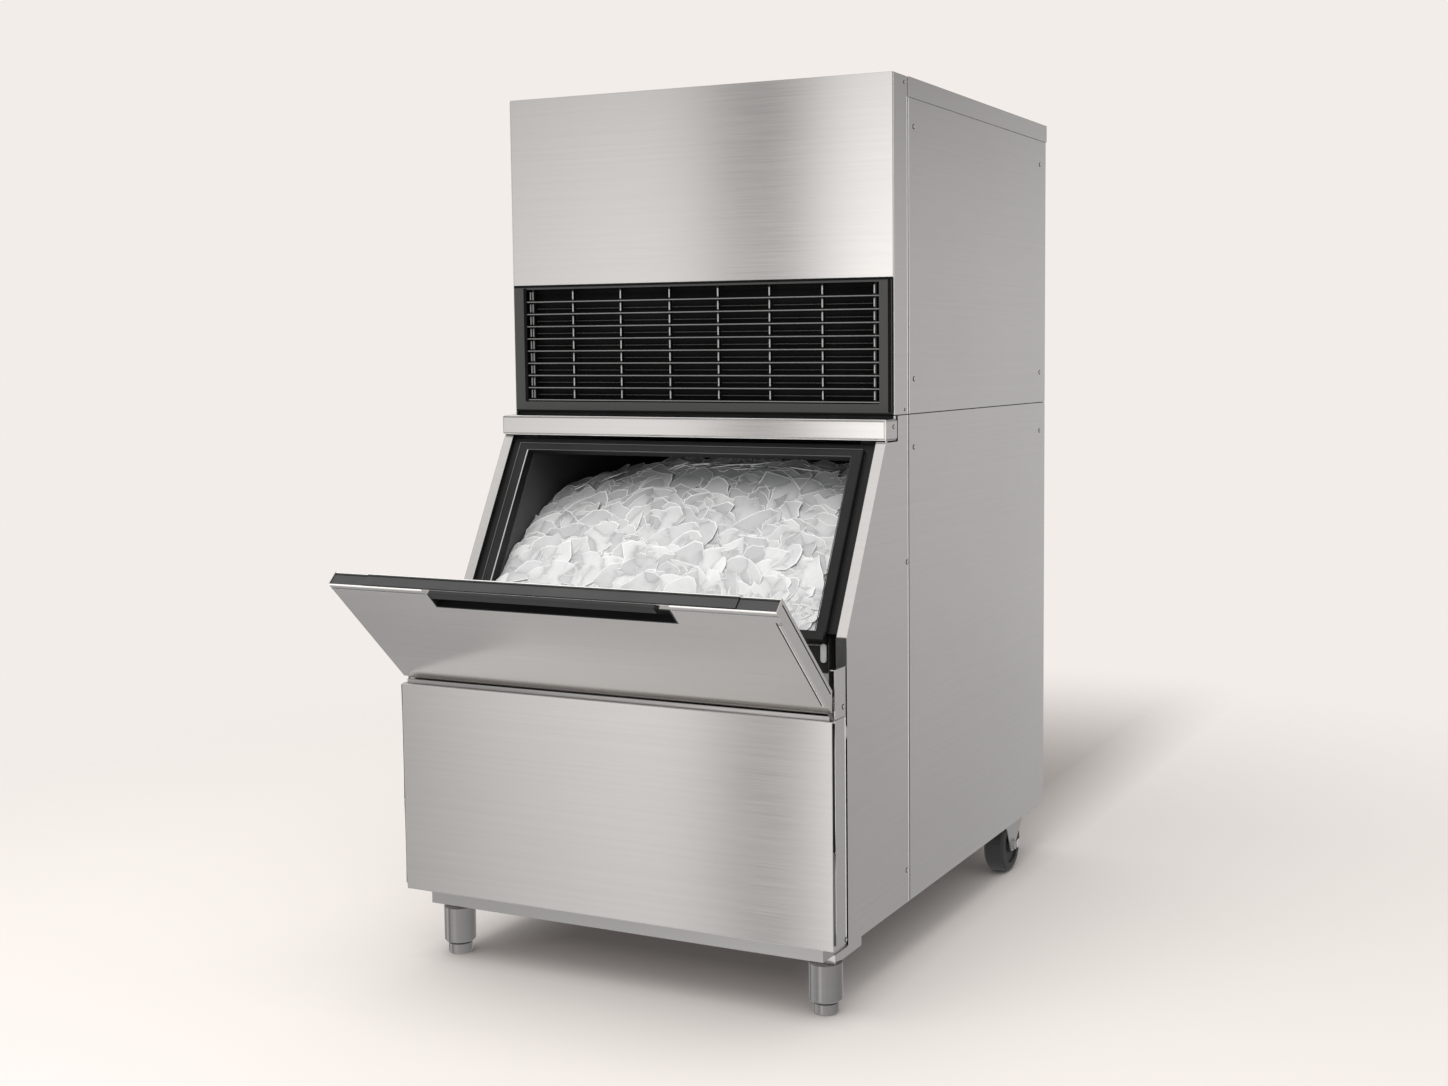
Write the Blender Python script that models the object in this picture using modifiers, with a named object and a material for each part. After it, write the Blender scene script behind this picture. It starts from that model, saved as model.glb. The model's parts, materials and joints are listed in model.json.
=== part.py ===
"""Flake ice maker: an ice-making head on an insulated storage bin with a drop-down door.

Sizes are in metres. X runs to the right as seen from the front, Y to the back, Z up.
The cabinet's own zero is the face of the lower front panel; a root empty carries everything so
that the middle of the whole machine, door open, stands over the origin.
"""
import math

import bmesh
import bpy
from mathutils import Matrix, Vector

# Whole cabinet
body_half_width = 0.355
base_height = 0.0925
split_height = 0.883
cap_rim_tall = 0.031
top_height = 1.410
side_front = 0.108
seam_place = 0.3475
back_place = 1.0345
sill_height = 0.560
slant_top_place = 0.2585
sheet = 0.0015
gap = 0.0003
panel_seam = 0.0014
overrun = 0.012
plane_overhang = 0.0015
round_steps = 32
small_steps = 20

# Side panels
side_flange = 0.017
side_notch_drop = 0.0078
side_step_place = 0.2907

# Base channel, legs and feet
channel_front = 0.063
channel_back = 0.158
channel_tall = 0.0145
channel_sheet = 0.002
channel_inset = 0.001
leg_side_inset = 0.0215
leg_place_y = 0.0738
leg_radius = 0.0255
leg_end_radius = 0.0230
leg_low = 0.0195
leg_chamfer = 0.003
leg_bore_top_wall = 0.010
foot_radius = 0.0195
foot_edge = 0.0024
foot_tall = 0.0170
foot_neck_tall = 0.0012
stem_radius = 0.0160
stem_end_clear = 0.002

# Rear casters
caster_place_y = 0.860
wheel_radius = 0.0508
wheel_width = 0.038
wheel_rim_radius = 0.0345
wheel_hub_radius = 0.0150
wheel_dish = 0.004
wheel_edge = 0.005
ear_sheet = 0.0025
ear_foot_radius = 0.012
ear_arc_start = -160
ear_arc_step = 20
ear_arc_points = 8
ear_front = 0.043
ear_back = 0.070
axle_radius = 0.006
nut_radius = 0.009
nut_tall = 0.0055
wheel_play = 0.0005
mount_plate_sheet = 0.003
mount_plate_inner = 0.012
floor_clear = 0.0035

# Insulated bin
foam_front_low = 0.1098
foam_front_high = 0.1273
frame_depth = 0.020
frame_back_clear = 0.0005
liner_wall = 0.0025
liner_front = 0.1675
liner_back = 0.9875
liner_floor = 0.1475
ceiling_drop = 0.0205
liner_ceiling_front = 0.292
liner_lip_drop = 0.040
floor_sheet = 0.0015

# Opening frame on the slanted plane; lengths along the slope are from the sill
frame_band = 0.0354
frame_groove = 0.018
frame_top_groove = 0.012
frame_groove_deep = 0.008
frame_top_clear = 0.0034
frame_top_rail = 0.0226
frame_rail_inner_low = 0.0079
frame_side_low = 0.0068
frame_low = -0.0057

# Hinge channel and front subframe
channel_lip_front = 0.024
trough_floor_drop = 0.160
trough_back = 0.1255
trough_wall_drop = 0.017
trough_side_inset = 0.003
trough_stop_gap = 0.0004
trough_notch_drop = 0.128
subframe_front = 0.026
subframe_back = 0.1077
subframe_low = 0.0925

# Door pivot, arms and studs
pivot_y = 0.1710
pivot_drop = 0.0822
door_lean = math.radians(45.3)
stud_radius = 0.006
stud_hole = 0.0066
arm_hole = 0.0064
arm_thick = 0.008
arm_boss = 0.014
arm_root_low = 0.0300
arm_root_high = 0.0470
arm_foot_half = 0.007
arm_foot_thick = 0.003
pocket_rib = 0.012
pocket_radius = 0.118
arm_arc_steps = 12
arm_arc_half = math.radians(100)

# Door
door_side_step = 0.002
door_thick = 0.024
door_gasket_gap = 0.006
door_top_clear = 0.0093
door_low = 0.0293
door_sheet = 0.0012
door_strip_tall = 0.009
door_end_block = 0.0620
end_block_gap = 0.0008
end_block_step = 0.0015
side_slot_low = 0.134
side_slot_high = 0.345
side_slot_near = 0.005
side_slot_far = 0.0078
rail_wide = 0.0065
rail_proud = 0.0025
rail_low = 0.132
rail_high = 0.325
door_inner_sheet = 0.003
pad_side_inset = 0.094
door_pad_low = 0.063
pad_top_inset = 0.0208
door_pad_raise = 0.008
gasket_width = 0.009
gasket_top_lap = 0.0053
gasket_inset = 0.0025
gasket_low = -0.004
corner_clear = 0.002

# Door handle, across and up the door
cup_left = -0.201
cup_right = 0.211
cup_tall = 0.032
cup_deep = 0.016
cup_wall = 0.002
lip_left = -0.190
lip_right = 0.192
lip_reach = 0.006
lip_rise = 0.001

# Lower front panel and hinge brackets
panel_side_reach = 0.026
panel_low = 0.120
panel_top_drop = 0.1035
panel_return = 0.046
panel_top_flange = 0.013
panel_open_drop = 0.158
panel_edge = 0.00135
bracket_front = 0.014
bracket_back = 0.050
bracket_low_drop = 0.155
bracket_high_drop = 0.031
bracket_flange = 0.0075

# Nosing over the mouth
nosing_front = 0.2528
nosing_back = 0.300
nosing_low_drop = 0.039
nosing_high_drop = 0.006
nosing_side_reach = 0.002
nosing_lip = 0.0045
nosing_flange_back = 0.289
nosing_round = 0.004

# Head shell
head_front = 0.291
grille_room_tall = 0.214
head_return = 0.040
strip_front = 0.2915
strip_flange = 0.020
deck_front = 0.292
deck_sheet = 0.0015
cap_front = 0.3476
vent_count = 9
vent_wide = 0.300
vent_tall = 0.010
vent_pitch = 0.024
vent_first_rise = 0.237
vent_middle_share = 0.5

# Intake grille
grille_front = 0.290
grille_deep = 0.012
grille_post = 0.0205
grille_top_rail = 0.0067
grille_low_rail = 0.0145
slat_count = 9
slat_pitch = 0.0208
slat_first_rise = 0.0193
slat_thick = 0.0022
slat_deep = 0.009
bar_place_shares = (-0.893, -0.668, -0.403, -0.138, 0.118, 0.383, 0.648, 0.907)
bar_wide = 0.0032
bar_deep = 0.006

# Air filter and condensing unit
filter_front = 0.306
filter_deep = 0.010
filter_rim = 0.012
filter_web = 0.003
filter_top_clear = 0.003
unit_centre_x = -0.040
unit_centre_rise = 0.107
condenser_front = 0.330
condenser_deep = 0.050
condenser_half = 0.220
condenser_half_tall = 0.100
fin_count = 14
fin_slot_share = 0.45
fin_depth = 0.008
shroud_place = 0.384
shroud_sheet = 0.002
shroud_hole = 0.094
shroud_collar = 0.018
fan_place = 0.400
fan_radius = 0.088
fan_blades = 5
fan_blade_thick = 0.002
fan_blade_width = 0.030
fan_pitch_angle = math.radians(28)
fan_hub_radius = 0.018
fan_root = 0.0144
fan_hub_long = 0.020
fan_shaft_radius = 0.004
motor_place = 0.425
motor_radius = 0.040
motor_long = 0.070
motor_arm = 0.008
motor_arm_reach = 0.112

# Compressor, barrel, auger, gear motor
compressor_x = -0.190
compressor_y = 0.850
compressor_radius = 0.090
compressor_tall = 0.225
compressor_foot = 0.012
compressor_neck = 0.020
compressor_dome_share = 0.77
barrel_x = 0.120
barrel_y = 0.700
gear_tall = 0.110
gear_half = 0.062
gear_neck_radius = 0.030
gear_neck_tall = 0.012
gear_socket = 0.014
gear_socket_radius = 0.0085
barrel_radius = 0.058
barrel_bore = 0.046
barrel_tall = 0.262
auger_shaft_radius = 0.008
auger_root = 0.0048
auger_flight_radius = 0.043
auger_turns = 5
auger_flight_thick = 0.005
auger_steps = 20
auger_end_clear = 0.010

# Ice chute
chute_left = -0.090
chute_right = 0.010
chute_half_deep = 0.055
chute_wall = 0.002
chute_dip = 0.0125
chute_hood_tall = 0.048
chute_hood_end = 0.185
chute_hole = 0.048

# Water reservoir and float
tank_x = 0.250
tank_y = 0.560
tank_half_x = 0.060
tank_half_y = 0.055
tank_rise = 0.177
tank_tall = 0.090
tank_wall = 0.003
tank_post_half = 0.015
float_pin_radius = 0.003
float_hole = 0.0034
float_arm_long = 0.070
float_arm_half = 0.004
float_bulb = 0.016
float_drop = 0.020

# Control box, pipe and connections
box_side_inset = 0.020
box_wide = 0.120
box_front = 0.500
box_back = 0.640
box_rise = 0.242
box_edge = 0.004
pipe_radius = 0.0048
pipe_rise = 0.030
inlet_x = 0.250
inlet_rise = 0.077
inlet_radius = 0.010
inlet_flange = 0.018
inlet_long = 0.050
inlet_reach = 0.020
inlet_bore = 0.006
power_x = -0.250
power_rise = 0.077
power_half_wide = 0.024
power_half_tall = 0.014
power_body_half_wide = 0.018
power_body_half_tall = 0.010
power_deep = 0.022
power_face = 0.003
power_cavity_deep = 0.015
power_cavity_wall = 0.003
drain_y = 0.930
drain_drop = 0.0010
drain_radius = 0.010
drain_bore = 0.007
drain_flange = 0.022
drain_flange_tall = 0.004

# Ice heap: heights over the floor and how its top falls away from the crest
heap_head_room = 0.0655
heap_front_rise = 0.038
heap_front = 0.142
heap_crest_y = 0.340
heap_crest_x = 0.060
heap_left_fall = 0.060
heap_left_power = 2.0
heap_right_fall = 0.018
heap_front_power = 1.25
heap_back_slope = 0.09
heap_columns = 18
heap_rows = 20

# Worked out from the driving sizes
pivot_z = sill_height - pivot_drop
panel_high = sill_height - panel_top_drop
panel_open_height = sill_height - panel_open_drop
bracket_low = sill_height - bracket_low_drop
bracket_high = sill_height - bracket_high_drop
trough_floor = sill_height - trough_floor_drop
trough_wall_top = sill_height - trough_wall_drop
trough_notch_low = sill_height - trough_notch_drop
foam_step = trough_floor - gap
liner_lip_low = sill_height - liner_lip_drop
heap_front_low = sill_height + heap_front_rise
nosing_low = split_height - nosing_low_drop
nosing_high = split_height - nosing_high_drop
slant_angle = math.atan((slant_top_place - side_front) / (nosing_low - sill_height))
side_notch_high = split_height - side_notch_drop
liner_ceiling = split_height - ceiling_drop
heap_crest = liner_ceiling - heap_head_room
chute_low = liner_ceiling - chute_dip
head_panel_low = split_height + grille_room_tall
slat_first = split_height + slat_first_rise
filter_high = head_panel_low - filter_top_clear
unit_centre_z = split_height + unit_centre_rise
vent_low = split_height + vent_first_rise
tank_low = split_height + tank_rise
tank_high = tank_low + tank_tall
box_high = split_height + box_rise
inlet_z = split_height + inlet_rise
power_z = split_height + power_rise
panel_half_width = body_half_width + panel_side_reach
nosing_half_width = body_half_width + nosing_side_reach
leg_place_x = body_half_width - leg_side_inset
trough_half = body_half_width - trough_side_inset
vent_centre = body_half_width * vent_middle_share
box_left = box_side_inset - body_half_width
box_right = box_left + box_wide
bar_places = [body_half_width * share for share in bar_place_shares]
slant_run = math.tan(slant_angle)
frame_top = (nosing_low - sill_height) / math.cos(slant_angle) - frame_top_clear
frame_rail_inner_top = frame_top - frame_top_rail
gasket_top = frame_rail_inner_top + gasket_top_lap
cap_rim_height = top_height - cap_rim_tall
door_half_width = panel_half_width - door_side_step
door_pad_half = door_half_width - pad_side_inset
inner_half = body_half_width - sheet - gap
flange_inner = body_half_width - side_flange
frame_half = flange_inner - gap
opening_half = frame_half - frame_band
liner_outer_half = opening_half + liner_wall
pocket_inner = liner_outer_half + gap + pocket_rib
pocket_outer = frame_half
arm_centre = (pocket_inner + pocket_outer) / 2
low_rail_half = pocket_inner - gap
floor_low = base_height + channel_tall + floor_clear
drain_pipe_z = floor_low - drain_radius - drain_drop
wheel_outer = inner_half - ear_sheet - wheel_play
wheel_centre_x = wheel_outer - wheel_width / 2
sill_to_pivot_y = pivot_y - side_front
sill_to_pivot_z = pivot_z - sill_height
plane_to_pivot = sill_to_pivot_y * math.cos(slant_angle) - sill_to_pivot_z * math.sin(slant_angle)
slope_to_pivot = sill_to_pivot_y * math.sin(slant_angle) + sill_to_pivot_z * math.cos(slant_angle)
door_inner = plane_to_pivot + door_gasket_gap
door_outer = door_inner + door_thick
bracket_outer = panel_half_width - sheet - gap
bracket_inner = bracket_outer - bracket_flange
door_narrow_half = bracket_inner - corner_clear / 2
corner_radius = math.hypot(pivot_y - bracket_front, bracket_high - pivot_z) + corner_clear
seam_front = seam_place - panel_seam / 2
seam_back = seam_place + panel_seam / 2
bin_side_top = split_height - panel_seam
head_floor = split_height + gap + deck_sheet + gap
back_inside = back_place - sheet - gap
gear_top = head_floor + gear_tall
barrel_low = gear_top + gap
barrel_high = barrel_low + barrel_tall
door_top = frame_top - slope_to_pivot - door_top_clear
door_pad_high = door_top - pad_top_inset
strip_low = door_top - door_strip_tall
cup_high = strip_low - gap * 2
cup_low = cup_high - cup_tall
lip_top = door_top + lip_rise
front_reach = pivot_y - (door_outer + gap + lip_reach) * math.cos(door_lean)
front_reach -= lip_top * math.sin(door_lean)
rear_reach = back_place + inlet_reach
middle_y = (front_reach + rear_reach) / 2

side_matrix = Matrix(((0, 0, 1, 0), (1, 0, 0, 0), (0, 1, 0, 0), (0, 0, 0, 1)))
front_matrix = Matrix(((1, 0, 0, 0), (0, 0, -1, 0), (0, 1, 0, 0), (0, 0, 0, 1)))


def clear_scene():
    """Remove every object that the file opened with."""
    for item in list(bpy.data.objects):
        bpy.data.objects.remove(item, do_unlink=True)


clear_scene()
parts = bpy.data.collections.new("flake_ice_maker")
guides = bpy.data.collections.new("cutters")
bpy.context.scene.collection.children.link(parts)
bpy.context.scene.collection.children.link(guides)


def empty(name, location, tilt=0.0, parent=None):
    """An empty that carries other objects; tilt turns it about X."""
    carrier = bpy.data.objects.new(name, None)
    parts.objects.link(carrier)
    carrier.location = location
    carrier.rotation_euler = (tilt, 0.0, 0.0)
    carrier.parent = parent
    return carrier


root = empty("machine_root", (0.0, -middle_y, 0.0))
slope = empty("mouth_plane", (0.0, side_front, sill_height), -slant_angle, root)
door_axis = empty("door_axis", (0.0, pivot_y, pivot_z), door_lean, root)


def material(name, colour, roughness, metallic):
    """A plain Principled finish."""
    finish = bpy.data.materials.new(name)
    finish.use_nodes = True
    shader = finish.node_tree.nodes["Principled BSDF"]
    shader.inputs["Base Color"].default_value = (*colour, 1.0)
    shader.inputs["Roughness"].default_value = roughness
    shader.inputs["Metallic"].default_value = metallic
    finish.diffuse_color = (*colour, 1.0)
    return finish


steel = material("brushed_steel", (0.60, 0.585, 0.56), 0.32, 1.0)
steel_inner = material("plain_steel", (0.48, 0.47, 0.46), 0.45, 1.0)
black = material("black_plastic", (0.045, 0.045, 0.046), 0.45, 0.0)
dark_liner = material("liner_plastic", (0.070, 0.070, 0.072), 0.50, 0.0)
foam = material("insulation_foam", (0.050, 0.050, 0.052), 0.95, 0.0)
white = material("white_plastic", (0.80, 0.80, 0.78), 0.45, 0.0)
rubber = material("black_rubber", (0.025, 0.025, 0.026), 0.80, 0.0)
copper = material("copper", (0.72, 0.40, 0.26), 0.30, 1.0)
alloy = material("aluminium", (0.66, 0.67, 0.68), 0.40, 1.0)
enamel = material("black_enamel", (0.030, 0.030, 0.032), 0.35, 0.0)
ice = material("flake_ice", (0.88, 0.90, 0.92), 0.25, 0.0)


def add(name, mesh, finish, location=(0.0, 0.0, 0.0), parent=None):
    """Link a mesh as a sub-part, or as a guide where it has no finish."""
    item = bpy.data.objects.new(name, mesh)
    (parts if finish else guides).objects.link(item)
    item.location = location
    item.parent = parent or root
    if finish:
        mesh.materials.append(finish)
    else:
        item.hide_render = True
        item.display_type = "WIRE"
    return item


def block(name, finish, low, high, parent=None, origin=None):
    """A box between two corners, with its origin in the middle or at a given place."""
    low = Vector(low)
    high = Vector(high)
    size = high - low
    middle = (low + high) / 2
    origin = Vector(origin) if origin else middle
    box = bmesh.new()
    bmesh.ops.create_cube(box, size=1.0)
    bmesh.ops.scale(box, vec=size, verts=box.verts)
    bmesh.ops.translate(box, vec=middle - origin, verts=box.verts)
    mesh = bpy.data.meshes.new(name)
    box.to_mesh(mesh)
    box.free()
    return add(name, mesh, finish, origin, parent)


def cylinder(name, finish, radius, low, high, centre, axis="Z", steps=round_steps, parent=None):
    """A cylinder along one axis; low and high are its ends, centre is its place on the others."""
    turn = {"X": Matrix.Rotation(math.pi / 2, 4, "Y"), "Y": Matrix.Rotation(-math.pi / 2, 4, "X"),
            "Z": Matrix.Identity(4)}[axis]
    middle = (low + high) / 2
    place = {"X": (middle, *centre), "Y": (centre[0], middle, centre[1]), "Z": (*centre, middle)}[axis]
    rod = bmesh.new()
    bmesh.ops.create_cone(rod, cap_ends=True, segments=steps, radius1=radius, radius2=radius,
                          depth=high - low, matrix=turn)
    mesh = bpy.data.meshes.new(name)
    rod.to_mesh(mesh)
    rod.free()
    round_off(mesh)
    return add(name, mesh, finish, place, parent)


def round_off(mesh, angle=math.radians(35)):
    """Smooth shading with the true edges kept sharp."""
    mesh.shade_smooth()
    mesh.set_sharp_from_angle(angle=angle)


def curve_to_mesh(curve_object):
    """Turn a filled curve into a welded mesh object in its place."""
    bpy.context.view_layer.update()
    evaluated = curve_object.evaluated_get(bpy.context.evaluated_depsgraph_get())
    mesh = bpy.data.meshes.new_from_object(evaluated)
    welded = bmesh.new()
    welded.from_mesh(mesh)
    bmesh.ops.remove_doubles(welded, verts=welded.verts, dist=0.00001)
    welded.to_mesh(mesh)
    welded.free()
    return mesh


def plate(name, finish, outlines, low, high, plane="side", parent=None):
    """A flat outline (and any holes after it) with thickness from low to high across its plane.

    The side plane takes points as (Y, Z) and thickness along X. The front plane takes (X, Z)
    and thickness along Y. The level plane takes (X, Y) and thickness along Z.
    """
    curve = bpy.data.curves.new(name, "CURVE")
    curve.dimensions = "2D"
    curve.fill_mode = "BOTH"
    curve.extrude = (high - low) / 2
    for outline in outlines:
        line = curve.splines.new("POLY")
        line.points.add(len(outline) - 1)
        for point, place in zip(line.points, outline):
            point.co = (*place, 0.0, 1.0)
        line.use_cyclic_u = True
    guide = bpy.data.objects.new(name + "_outline", curve)
    guides.objects.link(guide)
    mesh = curve_to_mesh(guide)
    bpy.data.objects.remove(guide)
    middle = (low + high) / 2
    turn = {"side": side_matrix, "front": front_matrix, "level": Matrix.Identity(4)}[plane]
    place = {"side": (middle, 0.0, 0.0), "front": (0.0, middle, 0.0), "level": (0.0, 0.0, middle)}[plane]
    mesh.transform(turn)
    return add(name, mesh, finish, place, parent)


def folded(name, finish, path, low, high, thickness, side=1.0, parent=None):
    """A sheet folded along a (Y, Z) path and run across X, thickened to one side of it."""
    sheet_mesh = bmesh.new()
    left = [sheet_mesh.verts.new((low, *point)) for point in path]
    right = [sheet_mesh.verts.new((high, *point)) for point in path]
    for index in range(len(path) - 1):
        sheet_mesh.faces.new((left[index], left[index + 1], right[index + 1], right[index]))
    mesh = bpy.data.meshes.new(name)
    sheet_mesh.to_mesh(mesh)
    sheet_mesh.free()
    item = add(name, mesh, finish, (0.0, 0.0, 0.0), parent)
    wall = item.modifiers.new("wall", "SOLIDIFY")
    wall.thickness = thickness
    wall.offset = side
    wall.use_even_offset = True
    return item


def turned(name, finish, profile, place, axis="Z", steps=round_steps, parent=None):
    """A profile of (radius, height) points, run from the top down its outer side, turned round."""
    line = bmesh.new()
    ring = profile[0] == profile[-1]
    verts = [line.verts.new((radius, 0.0, height)) for radius, height in profile[:-1 if ring else None]]
    for first, second in zip(verts, verts[1:] + (verts[:1] if ring else [])):
        line.edges.new((first, second))
    mesh = bpy.data.meshes.new(name)
    line.to_mesh(mesh)
    line.free()
    item = add(name, mesh, finish, place, parent)
    item.rotation_euler = {"Z": (0.0, 0.0, 0.0), "X": (0.0, math.pi / 2, 0.0),
                           "Y": (-math.pi / 2, 0.0, 0.0)}[axis]
    screw = item.modifiers.new("turn", "SCREW")
    screw.steps = steps
    screw.render_steps = steps
    screw.use_merge_vertices = True
    screw.merge_threshold = 0.00001
    screw.use_smooth_shade = True
    return item


def tube(name, finish, points, radius, parent=None):
    """A round tube along a list of places, with filled ends."""
    curve = bpy.data.curves.new(name, "CURVE")
    curve.dimensions = "3D"
    curve.bevel_depth = radius
    curve.bevel_resolution = 2
    curve.use_fill_caps = True
    line = curve.splines.new("POLY")
    line.points.add(len(points) - 1)
    for point, place in zip(line.points, points):
        point.co = (*place, 1.0)
    item = bpy.data.objects.new(name, curve)
    guides.objects.link(item)
    mesh = curve_to_mesh(item)
    bpy.data.objects.remove(item)
    round_off(mesh)
    return add(name, mesh, finish, (0.0, 0.0, 0.0), parent)


def boolean(target, other, operation):
    """Cut or join one solid with another, which becomes a guide."""
    step = target.modifiers.new(operation.lower(), "BOOLEAN")
    step.operation = operation
    step.object = other
    if other.name in parts.objects:
        parts.objects.unlink(other)
        guides.objects.link(other)
    other.hide_render = True
    other.display_type = "WIRE"


def cut(target, *others):
    """Take the others out of the target."""
    for other in others:
        boolean(target, other, "DIFFERENCE")
    return target


def join(target, *others):
    """Weld the others to the target."""
    for other in others:
        boolean(target, other, "UNION")
    return target


def soften(item, width, segments=2):
    """Round the edges of a plain solid."""
    edge = item.modifiers.new("edge", "BEVEL")
    edge.width = width
    edge.segments = segments
    edge.limit_method = "ANGLE"
    return item


def mouth(along, deep):
    """Place in the side plane of a point on the slope, deep measured into the cabinet."""
    y = side_front + along * math.sin(slant_angle) + deep * math.cos(slant_angle)
    z = sill_height + along * math.cos(slant_angle) - deep * math.sin(slant_angle)
    return (y, z)


def slope_y(height, deep=0.0):
    """Y of the slanted plane, moved into the cabinet by deep, at a height."""
    return side_front + slant_run * (height - sill_height) + deep / math.cos(slant_angle)


def build_base():
    """Front channel, leg sleeves and the feet that slide in them."""
    half = body_half_width - channel_inset
    top = base_height - gap
    channel = block("front_base_channel", steel, (-half, channel_front, top - channel_tall),
                    (half, channel_back, top))
    inside = half - channel_sheet
    hollow = block("channel_hollow", None,
                   (-inside, channel_front + channel_sheet, top - channel_tall + channel_sheet),
                   (inside, channel_back + overrun, top - channel_sheet))
    cut(channel, hollow)
    sleeve_top = top - channel_tall - gap
    stem_top = sleeve_top - leg_bore_top_wall - stem_end_clear
    bore = stem_radius + gap
    sleeve = [(0.0, sleeve_top), (leg_radius, sleeve_top), (leg_radius, leg_low + leg_chamfer),
              (leg_end_radius, leg_low), (bore, leg_low), (bore, sleeve_top - leg_bore_top_wall),
              (0.0, sleeve_top - leg_bore_top_wall)]
    foot = [(0.0, stem_top), (stem_radius, stem_top), (stem_radius, foot_tall + foot_neck_tall),
            (foot_radius - foot_edge / 2, foot_tall), (foot_radius, foot_tall - foot_edge / 2),
            (foot_radius, foot_edge), (foot_radius - foot_edge / 2, foot_edge / 4),
            (foot_radius - foot_edge, 0.0), (0.0, 0.0)]
    for side, label in ((-1, "left"), (1, "right")):
        place = (side * leg_place_x, leg_place_y, 0.0)
        turned("leg_sleeve_" + label, steel, sleeve, place)
        turned("foot_" + label, steel, foot, place)


def build_casters():
    """Rigid rear casters: fork with its axle, and the wheel that spins on it."""
    ear_top = floor_low - gap - mount_plate_sheet
    for side, label in ((-1, "left"), (1, "right")):
        outer = side * inner_half
        inner = side * (wheel_centre_x - wheel_width / 2 - wheel_play - ear_sheet)
        low_side = min(outer, inner)
        high_side = max(outer, inner)
        turns = [math.radians(ear_arc_start + ear_arc_step * step) for step in range(ear_arc_points)]
        arc = [(caster_place_y + ear_foot_radius * math.cos(turn),
                wheel_radius + ear_foot_radius * math.sin(turn)) for turn in turns]
        outline = [(caster_place_y - ear_front, ear_top + mount_plate_sheet / 2), *arc,
                   (caster_place_y + ear_back, ear_top + mount_plate_sheet / 2)]
        near = plate("ear_near_" + label, None, [outline], low_side, low_side + ear_sheet)
        far = plate("ear_far_" + label, None, [outline], high_side - ear_sheet, high_side)
        mount = block("caster_fork_" + label, steel_inner,
                      (low_side - (mount_plate_inner if side > 0 else 0.0),
                       caster_place_y - ear_front, ear_top),
                      (high_side + (mount_plate_inner if side < 0 else 0.0),
                       caster_place_y + ear_back, ear_top + mount_plate_sheet))
        nut_end = outer + side * nut_tall
        axle = cylinder("axle_" + label, None, axle_radius, min(inner, outer), max(inner, outer),
                        (caster_place_y, wheel_radius), "X", small_steps)
        nut_start = outer - side * ear_sheet / 2
        nut = cylinder("nut_" + label, None, nut_radius, min(nut_start, nut_end), max(nut_start, nut_end),
                       (caster_place_y, wheel_radius), "X", 6)
        join(mount, near, far, axle, nut)
        half = wheel_width / 2
        dished = half - wheel_dish
        hub = axle_radius + gap
        profile = [(hub, half), (wheel_hub_radius, half), (wheel_hub_radius, dished),
                   (wheel_rim_radius, dished), (wheel_rim_radius, half), (wheel_radius - wheel_edge, half),
                   (wheel_radius, half - wheel_edge), (wheel_radius, wheel_edge - half),
                   (wheel_radius - wheel_edge, -half), (wheel_rim_radius, -half),
                   (wheel_rim_radius, -dished), (wheel_hub_radius, -dished),
                   (wheel_hub_radius, -half), (hub, -half), (hub, half)]
        turned("caster_wheel_" + label, rubber, profile,
               (side * wheel_centre_x, caster_place_y, wheel_radius), "X")


def build_bin_sides():
    """Side panels of the bin in front of the seam, with their flange and hinge stud, and behind it."""
    slope_top = (slope_y(nosing_low - sheet), nosing_low - sheet)
    flange_path = [(side_front, base_height), (side_front, sill_height), slope_top]
    outline = [*flange_path, (slope_top[0], side_notch_high), (side_step_place, side_notch_high),
               (side_step_place, bin_side_top), (seam_front, bin_side_top), (seam_front, base_height)]
    for side, label in ((-1, "left"), (1, "right")):
        outer = side * body_half_width
        inner = side * (body_half_width - sheet)
        panel = plate("bin_side_front_" + label, steel, [outline], min(outer, inner), max(outer, inner))
        edge = side * flange_inner
        flange = folded("side_flange_" + label, None, flange_path, min(edge, inner + side * sheet / 2),
                        max(edge, inner + side * sheet / 2), sheet)
        stud_end = side * (arm_centre - arm_thick)
        stud_root = inner + side * sheet / 2
        stud = cylinder("hinge_stud_" + label, None, stud_radius, min(stud_end, stud_root),
                        max(stud_end, stud_root), (pivot_y, pivot_z), "X", small_steps)
        join(panel, flange, stud)
        block("bin_side_rear_" + label, steel,
              (min(outer, inner), seam_back, base_height), (max(outer, inner), back_place, bin_side_top))


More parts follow.
